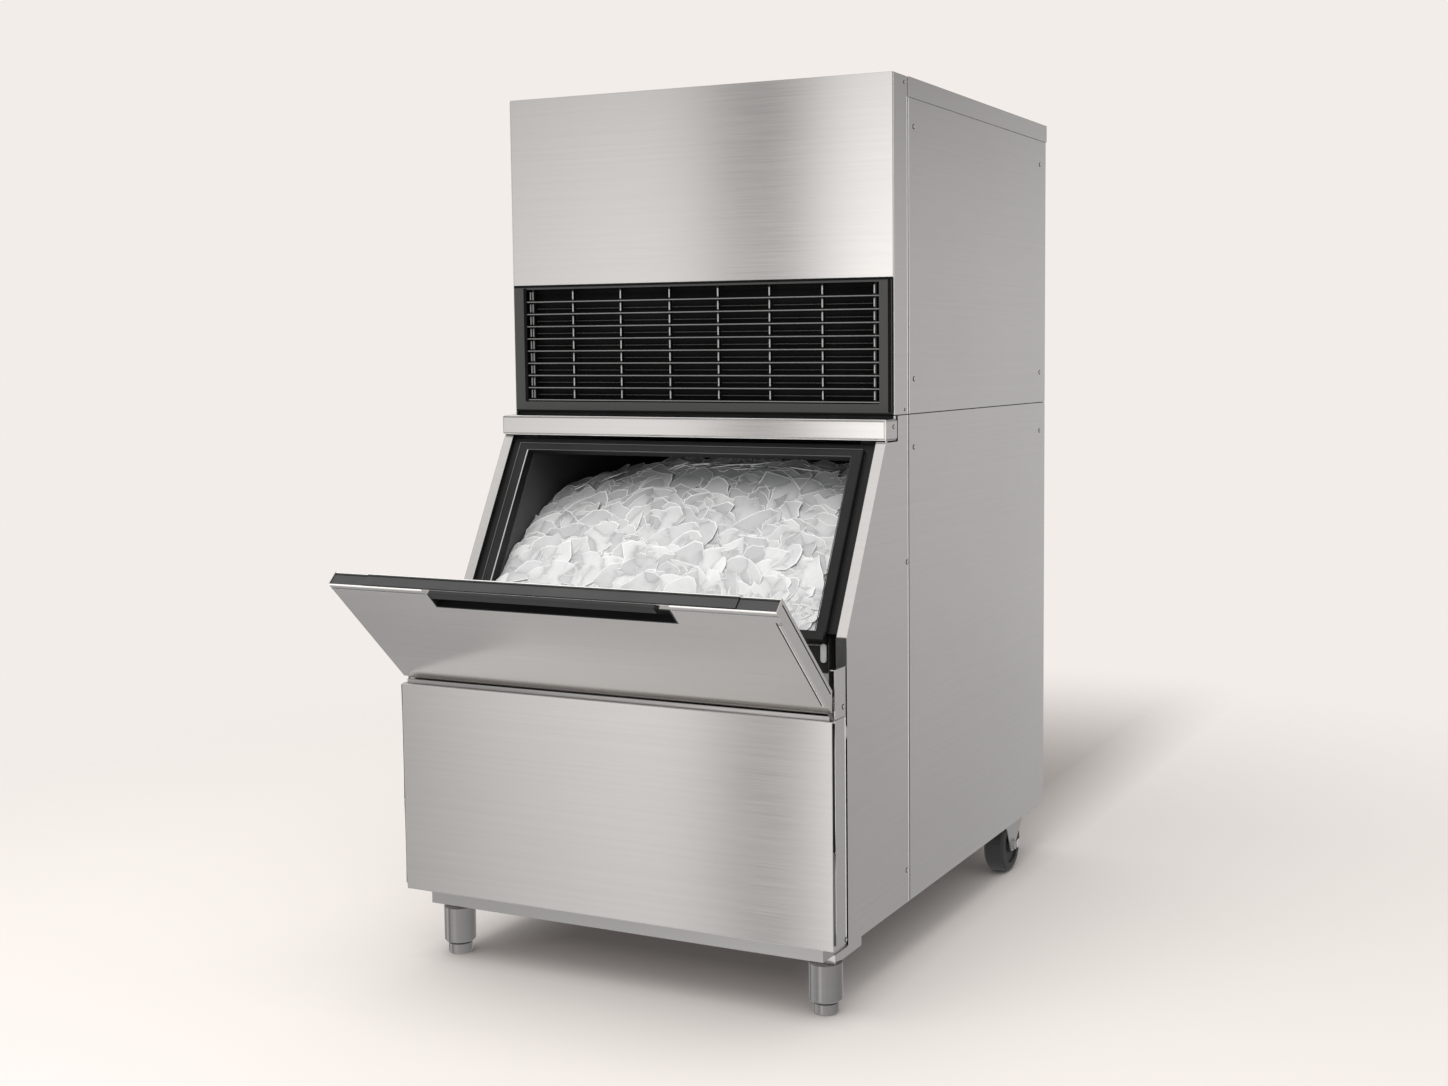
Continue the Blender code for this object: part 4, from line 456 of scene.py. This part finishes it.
def rounded_slabs(name, centres, halves, corner, slot, body="cabinet", steps=8):
    """Slabs with rounded corners and edges: the outline is a rectangle less its corner radius, plus
    that radius times the cosine and sine of a turn; rings of it are drawn in by a quarter circle
    towards the front and back faces, and a pole closes each."""
    points, faces = [], []
    turn = np.linspace(0, 2 * np.pi, 4 * steps, endpoint=False) + np.pi / (4 * steps)
    for centre, half in zip(centres, halves):
        half = np.array(half)
        edge = min(corner, half[1]) * 0.6
        rings = []
        for lift in (-1, 1):
            arc = np.linspace(0, np.pi / 2, 4)
            drawn = edge * (1 - np.cos(arc)) if lift > 0 else edge * (1 - np.cos(arc[::-1]))
            level = half[1] - edge + edge * np.sin(arc) if lift > 0 else -(half[1] - edge + edge * np.sin(arc[::-1]))
            for inset, y in zip(drawn, level):
                x = np.sign(np.cos(turn)) * (half[0] - corner) + (corner - inset) * np.cos(turn)
                z = np.sign(np.sin(turn)) * (half[2] - corner) + (corner - inset) * np.sin(turn)
                rings.append(np.stack([x, np.full_like(x, y), z], -1))
        slab = np.concatenate([[[0, -half[1], 0]], *rings, [[0, half[1], 0]]])
        start = sum(len(part) for part in points)
        count = 4 * steps
        first = np.arange(count)
        after = (first + 1) % count
        last = len(slab) - 1
        faces += [(start, start + 1 + a, start + 1 + b) for a, b in zip(first, after)]
        faces += [(start + last, start + last - count + b, start + last - count + a)
                  for a, b in zip(first, after)]
        faces += [tuple(quad[::-1]) for quad in grid_faces(len(rings), count, start=start + 1).tolist()]
        points.append(slab + np.array(centre))
    return piece(name, np.concatenate(points), faces, slot, body, 40)


def trim_opening():
    """Thin bead round the mouth and step of the moulding, lit left and shaded right by painted light and shade;
    covers, slabs of painted shade and catches at the ends of the sill; and the upstand on the lower panel."""
    inside = OPENING_HALF - 0.0012
    low, high = 0.0085, 0.2945
    corners = [on_slope(x, along, proud) for x, along, proud in
               ((-inside, low, 0.0004), (-inside, high, -0.0007), (inside, high, -0.0007),
                (inside, low, 0.0004))]
    # Painted light and shade: the bead is light grey on the left, dim grey on top and dark on the right.
    rods("mouth_bead", corners[:1], corners[1:2], 0.0022, 0.0016, "bar_edge")
    rods("mouth_bead_top", corners[1:2], corners[2:3], 0.0020, 0.0014, "louvre_grey")
    rods("mouth_bead_right", corners[2:3], corners[3:], 0.0014, 0.0012, "block_grey")
    wide, top = 0.3185, 0.3062
    steps = [on_slope(x, along, 0.0004) for x, along in ((-wide, 0.0), (-wide, top), (wide, top), (wide, 0.0))]
    # Painted light and shade: the step is grey on the left and top and black on the right.
    rods("moulding_step", steps[:-2], steps[1:-1], 0.0014, 0.0012, "louvre_grey")
    rods("moulding_step_right", steps[2:3], steps[3:], 0.0014, 0.0012, "frame_black")
    centres = [(side * 0.3464, 0.1064 - MIDDLE_Y, 0.5375) for side in (-1, 1)]
    rounded_slabs("sill_covers", centres, [(0.0084, 0.0013, 0.0220)] * 2, 0.0016, "block_grey")
    # Painted shade: black slabs in front of the hinge channels, where shade falls under the door.
    centres = [(side * x, 0.1243 - MIDDLE_Y, 0.5215) for side in (-1, 1) for x in (0.2994, 0.3443)]
    rounded_slabs("sill_shields", centres, [(0.0174, 0.0009, 0.0205), (0.0065, 0.0009, 0.0205)] * 2, 0.0012,
                  "frame_black")
    centres = [(side * 0.3126, 0.1170 - MIDDLE_Y, 0.5325) for side in (-1, 1)]
    rounded_slabs("hinge_tongues", centres, [(0.0050, 0.0012, 0.0145)] * 2, 0.0048, "bar_edge")
    rounded_slabs("sill_upstand", [(0.0, 0.0064 - MIDDLE_Y, 0.4598)], [(0.3740, 0.0009, 0.0034)], 0.0008,
                  "plain_steel")


def trim_seams():
    """Painted shadow lines in the seams of the side panels and beside the lower panel's returns, and painted
    highlights on the folds beside them."""
    shadow, fold = [], []
    for side in (-1, 1):
        for low, high in ((0.0925, 0.8816), (0.8830, 1.3787)):
            shadow.append(((side * 0.35495, 0.3475, low), (side * 0.35495, 0.3475, high)))
            fold.append(((side * 0.35500, 0.3445, low), (side * 0.35500, 0.3445, high)))
        fold.append(((side * 0.35500, 0.3505, 0.8830), (side * 0.35500, 0.3505, 1.3787)))
        # Painted highlights on the front and rear edges of the lower panel's returns.
        fold.append(((side * 0.38095, 0.0085, 0.130), (side * 0.38095, 0.0085, 0.4555)))
        fold.append(((side * 0.38095, 0.0440, 0.130), (side * 0.38095, 0.0440, 0.4555)))
    # Painted shadow lines in the seams, and painted highlights on the folds beside them.
    places = [np.array(pair) - (0.0, MIDDLE_Y, 0.0) for pair in shadow]
    rods("seam_shadows", [low for low, _ in places], [high for _, high in places], 0.0010, 0.0030, "dark_mesh")
    places = [np.array(pair) - (0.0, MIDDLE_Y, 0.0) for pair in fold]
    rods("seam_folds", [low for low, _ in places], [high for _, high in places], 0.0008, 0.0030, "bright_edge")
    # Painted shade on the returns: black higher up, mid grey lower down.
    centres = [(side * 0.38095, 0.0036 - MIDDLE_Y, 0.3600) for side in (-1, 1)]
    rounded_slabs("return_shadows", centres, [(0.0002, 0.0030, 0.0940)] * 2, 0.0018, "frame_black")
    centres = [(side * 0.38095, 0.0036 - MIDDLE_Y, 0.1970) for side in (-1, 1)]
    rounded_slabs("return_shades", centres, [(0.0002, 0.0030, 0.0680)] * 2, 0.0018, "slat_edge")
    # Painted shade: dark slabs in the gaps between the brackets and the side panels.
    centres = [(side * 0.3533, 0.1076 - MIDDLE_Y, 0.3195) for side in (-1, 1)]
    rounded_slabs("panel_gaps", centres, [(0.0016, 0.0003, 0.2255)] * 2, 0.0004, "dark_mesh")


def trim_nosing():
    """Painted highlights on the folds along the nosing's upper and lower edge and at its ends, and the painted
    shadow line round its end faces."""
    front, low, high = 0.2527 - MIDDLE_Y, 0.8450, 0.8762
    # Painted highlights: near white rods along the nosing's folds.
    starts = [(-0.3560, front, high), (-0.3560, front, low), (-0.3560, front, low), (0.3560, front, low)]
    ends = [(0.3560, front, high), (0.3560, front, low), (-0.3560, front, high), (0.3560, front, high)]
    rods("nosing_folds", starts, ends, 0.0016, 0.0010, "bright_edge")
    # Painted shadow lines round the nosing's end faces.
    back, under = 0.3004 - MIDDLE_Y, 0.8424
    starts, ends = [], []
    for side in (-0.3552, 0.3552):
        starts += [(side, back, under), (side, front + 0.012, under)]
        ends += [(side, back, 0.8815), (side, back, under)]
    rods("nosing_shadows", starts, ends, 0.0026, 0.0026, "dark_mesh")


def trim_door():
    """Folded hem along the head of the door's skin, on both sides of the handle, with a painted highlight on its
    fold; painted highlights on the top strip's rim and the rail's fold, painted shadow lines on strip and rail."""
    face = 0.1243
    starts = [on_door(-0.3785, 0.3406, face), on_door(0.214, 0.3406, face)]
    ends = [on_door(-0.205, 0.3406, face), on_door(0.3785, 0.3406, face)]
    rods("door_head_hem", starts, ends, 0.0030, 0.0014, "aluminium", "door")
    # Painted highlight along the top strip's back rim, and painted shadow lines along the strip.
    spans = ((-0.3780, -0.3160, 0.3503), (-0.3155, 0.3155, 0.3518), (0.3160, 0.3780, 0.3503))
    starts = [on_door(start, top, 0.1013) for start, _, top in spans]
    ends = [on_door(end, top, 0.1013) for _, end, top in spans]
    rods("door_back_rim", starts, ends, 0.0026, 0.0016, "bright_edge", "door")
    starts = [on_door(start, top, out) for start, _, top in spans for out in (0.1040, 0.1216)]
    ends = [on_door(end, top, out) for _, end, top in spans for out in (0.1040, 0.1216)]
    rods("door_strip_shadows", starts, ends, 0.0026, 0.0008, "grip_black", "door")
    # Painted highlight along the fold at the door's head.
    starts = [on_door(-0.3785, 0.3505, 0.1240), on_door(0.214, 0.3505, 0.1240)]
    ends = [on_door(-0.205, 0.3505, 0.1240), on_door(0.3785, 0.3505, 0.1240)]
    rods("door_head_fold", starts, ends, 0.0030, 0.0030, "bright_edge", "door")
    # Painted shadow beside the rail, and a painted highlight on its fold.
    rods("door_rail_shadow", [on_door(0.3692, 0.3265, 0.1243)], [on_door(0.3692, 0.1310, 0.1243)],
         0.0022, 0.0010, "grip_black", "door")
    rods("door_rail_fold", [on_door(0.3733, 0.3245, 0.1267)], [on_door(0.3733, 0.1325, 0.1267)],
         0.0014, 0.0008, "bright_edge", "door")


# ---------------------------------------------------------------- screws
def screws(name, places, normal, radius=0.0042, tall=0.0016):
    """Screws, each on a thin dark disc of painted shade round its head."""
    # Painted shade: a dark disc round each head.
    screw_heads(name + "_wells", places, normal, radius, 0.0006, "frame_black")
    return screw_heads(name, places, normal, radius * 0.70, tall)


def screw_heads(name, places, normal, radius=0.0042, tall=0.0016, slot="screw_steel", body="cabinet"):
    """Pan-head screws: a half profile of radius against height turned round the normal, with a
    cross recess made by drawing the middle rings in where they meet two crossed slots."""
    normal = np.array(normal, float)
    side = np.array([0.0, 0.0, 1.0]) if abs(normal[2]) < 0.5 else np.array([0.0, 1.0, 0.0])
    other = np.cross(normal, side)
    steps = 24
    radii = np.array([1.0, 1.0, 0.93, 0.78, 0.55, 0.42, 0.26, 0.10, 0.0]) * radius
    heights = np.array([0.0, 0.45, 0.74, 0.92, 1.0, 1.0, 1.0, 1.0, 1.0]) * tall
    turn = np.linspace(0, 2 * np.pi, steps, endpoint=False)
    u = radii[:, None] * np.cos(turn)
    v = radii[:, None] * np.sin(turn)
    h = np.broadcast_to(heights[:, None], u.shape).copy()
    groove = np.minimum(np.abs(u), np.abs(v)) < radius * 0.12
    h[(radii[:, None] < radius * 0.5) & groove] -= tall * 0.7
    local = (u[..., None] * side + v[..., None] * other + h[..., None] * normal).reshape(-1, 3)
    quads = grid_faces(len(radii), steps)
    points = np.concatenate([local + np.array(place) for place in places])
    faces = np.concatenate([quads + index * len(local) for index in range(len(places))])
    return piece(name, points, faces[:, ::-1] if flips(normal, side, other) else faces, slot, body, 50)


def flips(normal, side, other):
    """Whether rings that climb the normal turn their faces inwards."""
    return float(np.dot(np.cross(side, other), normal)) < 0


def fit_screws():
    """Screws of the side panels, strips, nosing and brackets, as in the photo and mirrored, and the bolts
    of the rear wheels."""
    rows = ((0.372, 1.335), (1.000, 1.334), (0.371, 0.938), (1.002, 0.940), (1.003, 0.828), (0.370, 0.829),
            (0.340, 0.647), (0.336, 0.146))
    for side, label in ((1, "right"), (-1, "left")):
        face = side * 0.35505
        screws("side_screws_" + label, [(face, y - MIDDLE_Y, z) for y, z in rows], (side, 0, 0))
        screws("strip_screws_" + label, [(face, 0.333 - MIDDLE_Y, 1.399), (face, 0.333 - MIDDLE_Y, 0.890)],
               (side, 0, 0), 0.0028, 0.0010)
        screws("nosing_screw_" + label, [(side * 0.35705, 0.283 - MIDDLE_Y, 0.865)], (side, 0, 0), 0.0036)
        screws("bracket_screw_" + label, [(side * 0.37925, 0.042 - MIDDLE_Y, 0.471)], (side, 0, 0), 0.0040)
        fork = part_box("caster_fork_" + label)
        screw_heads("axle_bolt_" + label, [(fork[side > 0][0], (fork[0][1] + fork[1][1]) / 2, 0.0508)],
                    (side, 0, 0), 0.0085, 0.0030)
        screws("return_screw_" + label, [(side * 0.3811, 0.043 - MIDDLE_Y, 0.126)], (side, 0, 0), 0.0040,
               0.0010)


# ---------------------------------------------------------------- studio
def set_camera():
    """The photo's view: turned 24.71 degrees left and 4.85 down, from the fitted place."""
    yaw, pitch, roll = (math.radians(angle) for angle in (24.71, 4.85, -0.32))
    ahead = np.array([-math.sin(yaw) * math.cos(pitch), math.cos(yaw) * math.cos(pitch), -math.sin(pitch)])
    right = np.array([math.cos(yaw), math.sin(yaw), 0.0])
    up = np.cross(right, ahead)
    level = right * math.cos(roll) + up * math.sin(roll)
    upward = up * math.cos(roll) - right * math.sin(roll)
    lens = bpy.data.cameras.new("photo_camera")
    lens.sensor_width = 36.0
    lens.lens = 1753.7 / 1448 * 36.0
    lens.shift_x = (724 - 845) / 1448
    lens.shift_y = (500 - 543) / 1448
    camera = bpy.data.objects.new("photo_camera", lens)
    bpy.context.scene.collection.objects.link(camera)
    place = np.array([1.427, -2.225 - MIDDLE_Y, 0.9825])
    matrix = np.eye(4)
    matrix[:3, 0], matrix[:3, 1], matrix[:3, 2], matrix[:3, 3] = level, upward, -ahead, place
    camera.matrix_world = Matrix(matrix.tolist())
    bpy.context.scene.camera = camera


def ramp(tree, value, stops):
    """A colour ramp of grey stops given as (place, value)."""
    node = knit(tree, "ShaderNodeValToRGB", {"Fac": value})
    node.color_ramp.interpolation = "LINEAR"
    elements = node.color_ramp.elements
    while len(elements) > 1:
        elements.remove(elements[-1])
    for index, (place, shade) in enumerate(stops):
        element = elements[0] if index == 0 else elements.new(place)
        element.position = place
        element.color = (shade, shade, shade, 1.0)
    return node.outputs["Color"]


def light_studio():
    """A white studio with soft dark flags to the front left, mirrored by the steel, and its backdrop."""
    world = bpy.data.worlds.new("studio")
    bpy.context.scene.world = world
    world.use_nodes = True
    tree = world.node_tree
    tree.nodes.clear()
    place = knit(tree, "ShaderNodeTexCoord")
    parted = knit(tree, "ShaderNodeSeparateXYZ", {"Vector": place.outputs["Generated"]})
    left = knit(tree, "ShaderNodeMath", {0: parted.outputs["X"]}, operation="MULTIPLY")
    left.inputs[1].default_value = -1.0
    front = knit(tree, "ShaderNodeMath", {0: parted.outputs["Y"]}, operation="MULTIPLY")
    front.inputs[1].default_value = -1.0
    angle = knit(tree, "ShaderNodeMath", {0: left.outputs[0], 1: front.outputs[0]}, operation="ARCTAN2")
    share = knit(tree, "ShaderNodeMapRange", {"Value": angle.outputs[0]}, From_Min=-math.pi, From_Max=math.pi,
                 To_Min=0.0, To_Max=1.0)
    around = ((-180, 0.37), (-165, 0.355), (-157, 0.32), (-140, 0.34), (-110, 0.40), (-80, 0.46),
              (-45, 0.50), (-10, 0.55), (10, 0.66), (18, 0.82), (22, 0.92), (24.3, 0.95), (25.5, 0.72),
              (26.2, 0.21), (27.3, 0.14), (28.2, 0.27), (28.9, 0.60), (29.8, 0.68), (31.5, 0.66),
              (33.5, 0.60), (36.3, 0.54), (39, 0.37), (44, 0.30), (56, 0.45), (66, 0.70), (78, 0.70),
              (90, 0.46), (103, 0.30), (115, 0.30), (125, 0.36), (180, 0.37))
    shade = ramp(tree, share.outputs["Result"], [(a / 360 + 0.5, v) for a, v in around])
    height = knit(tree, "ShaderNodeMapRange", {"Value": parted.outputs["Z"]}, From_Min=-1.0, From_Max=1.0,
                  To_Min=0.0, To_Max=1.0)
    fall = ramp(tree, height.outputs["Result"], [(0.0, 0.80), (0.10, 0.84), (0.22, 0.70), (0.36, 0.76),
                                                 (0.44, 0.95), (0.49, 0.97), (0.52, 0.97), (0.545, 0.90),
                                                 (0.57, 0.74), (0.61, 0.50), (0.74, 0.50), (0.78, 1.0),
                                                 (1.0, 1.0)])
    near_level = ramp(tree, height.outputs["Result"], [(0.0, 0.0), (0.06, 0.7), (0.12, 1.0), (0.70, 1.0),
                                                       (0.86, 0.15), (1.0, 0.0)])
    mixed = knit(tree, "ShaderNodeMix", {"Factor": near_level}, data_type="RGBA")
    mixed.inputs["A"].default_value = (0.56, 0.56, 0.56, 1.0)
    tree.links.new(shade, mixed.inputs["B"])
    product = knit(tree, "ShaderNodeMix", data_type="RGBA", blend_type="MULTIPLY")
    product.inputs["Factor"].default_value = 1.0
    tree.links.new(mixed.outputs["Result"], product.inputs["A"])
    tree.links.new(fall, product.inputs["B"])
    lit = knit(tree, "ShaderNodeBackground", {"Color": product.outputs["Result"]}, Strength=2.0)
    seen = knit(tree, "ShaderNodeBackground", Strength=1.0)
    seen.inputs["Color"].default_value = (0.896, 0.847, 0.815, 1.0)
    path = knit(tree, "ShaderNodeLightPath")
    chosen = knit(tree, "ShaderNodeMixShader", {0: path.outputs["Is Camera Ray"], 1: lit.outputs[0],
                                                2: seen.outputs[0]})
    knit(tree, "ShaderNodeOutputWorld", {"Surface": chosen.outputs[0]})
    lamp = bpy.data.lights.new("softbox", "AREA")
    lamp.shape = "RECTANGLE"
    lamp.size, lamp.size_y = 3.0, 3.0
    lamp.energy = 74.0
    lamp.color = (1.0, 0.985, 0.965)
    softbox = bpy.data.objects.new("softbox", lamp)
    bpy.context.scene.collection.objects.link(softbox)
    softbox.location = (-0.2, -1.4, 3.4)
    aim(softbox, (0.0, 0.0, 0.6))
    softbox.visible_glossy = False


def aim(item, target):
    """Turn a lamp so that it faces a place."""
    way = Vector(target) - item.location
    item.rotation_euler = way.to_track_quat("-Z", "Y").to_euler()


def lay_floor():
    """A pale floor disc with a painted shadow under the machine, fading into the backdrop far from it."""
    steps = 96
    radii = np.array([0.001, 1.0, 2.0, 3.0, 4.5, 6.5])
    turn = np.linspace(0, 2 * np.pi, steps, endpoint=False)
    points = np.stack([radii[:, None] * np.cos(turn), radii[:, None] * np.sin(turn),
                       np.full((len(radii), steps), -0.0004)], -1).reshape(-1, 3)
    mesh = bpy.data.meshes.new("floor")
    mesh.from_pydata(points.tolist(), [], [tuple(quad) for quad in grid_faces(len(radii), steps)[:, ::-1].tolist()])
    floor = bpy.data.objects.new("floor", mesh)
    bpy.context.scene.collection.objects.link(floor)
    made, tree, shader = start_finish("pale_floor", Roughness=0.9, Specular_IOR_Level=0.0)
    place = knit(tree, "ShaderNodeTexCoord")
    parted = knit(tree, "ShaderNodeSeparateXYZ", {"Vector": place.outputs["Object"]})
    # Painted shadow: the floor's colour darkens over the machine's footprint, with a soft edge.
    sideways = knit(tree, "ShaderNodeMath", {0: parted.outputs["X"]}, operation="ABSOLUTE")
    beside = knit(tree, "ShaderNodeMath", {0: sideways.outputs[0]}, operation="SUBTRACT")
    beside.inputs[1].default_value = 0.30
    ahead = knit(tree, "ShaderNodeMath", {0: parted.outputs["Y"]}, operation="MULTIPLY")
    ahead.inputs[1].default_value = -1.0
    before = knit(tree, "ShaderNodeMath", {0: ahead.outputs[0]}, operation="SUBTRACT")
    before.inputs[1].default_value = 0.33
    off = knit(tree, "ShaderNodeMath", {0: beside.outputs[0], 1: before.outputs[0]}, operation="MAXIMUM")
    lit = spread(tree, off.outputs[0], 0.0, 1.0, -0.10, 0.10)
    tree.links.new(tinted(tree, lit, (0.40, 0.367, 0.350), (0.745, 0.705, 0.678)), shader.inputs["Base Color"])
    far = knit(tree, "ShaderNodeVectorMath", {0: place.outputs["Object"]}, operation="LENGTH")
    fade = knit(tree, "ShaderNodeMapRange", {"Value": far.outputs["Value"]}, interpolation_type="SMOOTHSTEP",
                From_Min=1.1, From_Max=2.6, To_Min=0.0, To_Max=1.0)
    clear = knit(tree, "ShaderNodeBsdfTransparent")
    mix = knit(tree, "ShaderNodeMixShader", {0: fade.outputs["Result"], 1: shader.outputs[0],
                                             2: clear.outputs[0]})
    output = [node for node in tree.nodes if node.type == "OUTPUT_MATERIAL"][0]
    tree.links.new(mix.outputs[0], output.inputs["Surface"])
    mesh.materials.append(made)
    floor.visible_glossy = False


bpy.context.scene.view_settings.view_transform = "Standard"
set_camera()
light_studio()
lay_floor()
dress_nodes()
fill_bin()
trim_grille()
trim_opening()
trim_seams()
trim_nosing()
trim_door()
fit_screws()
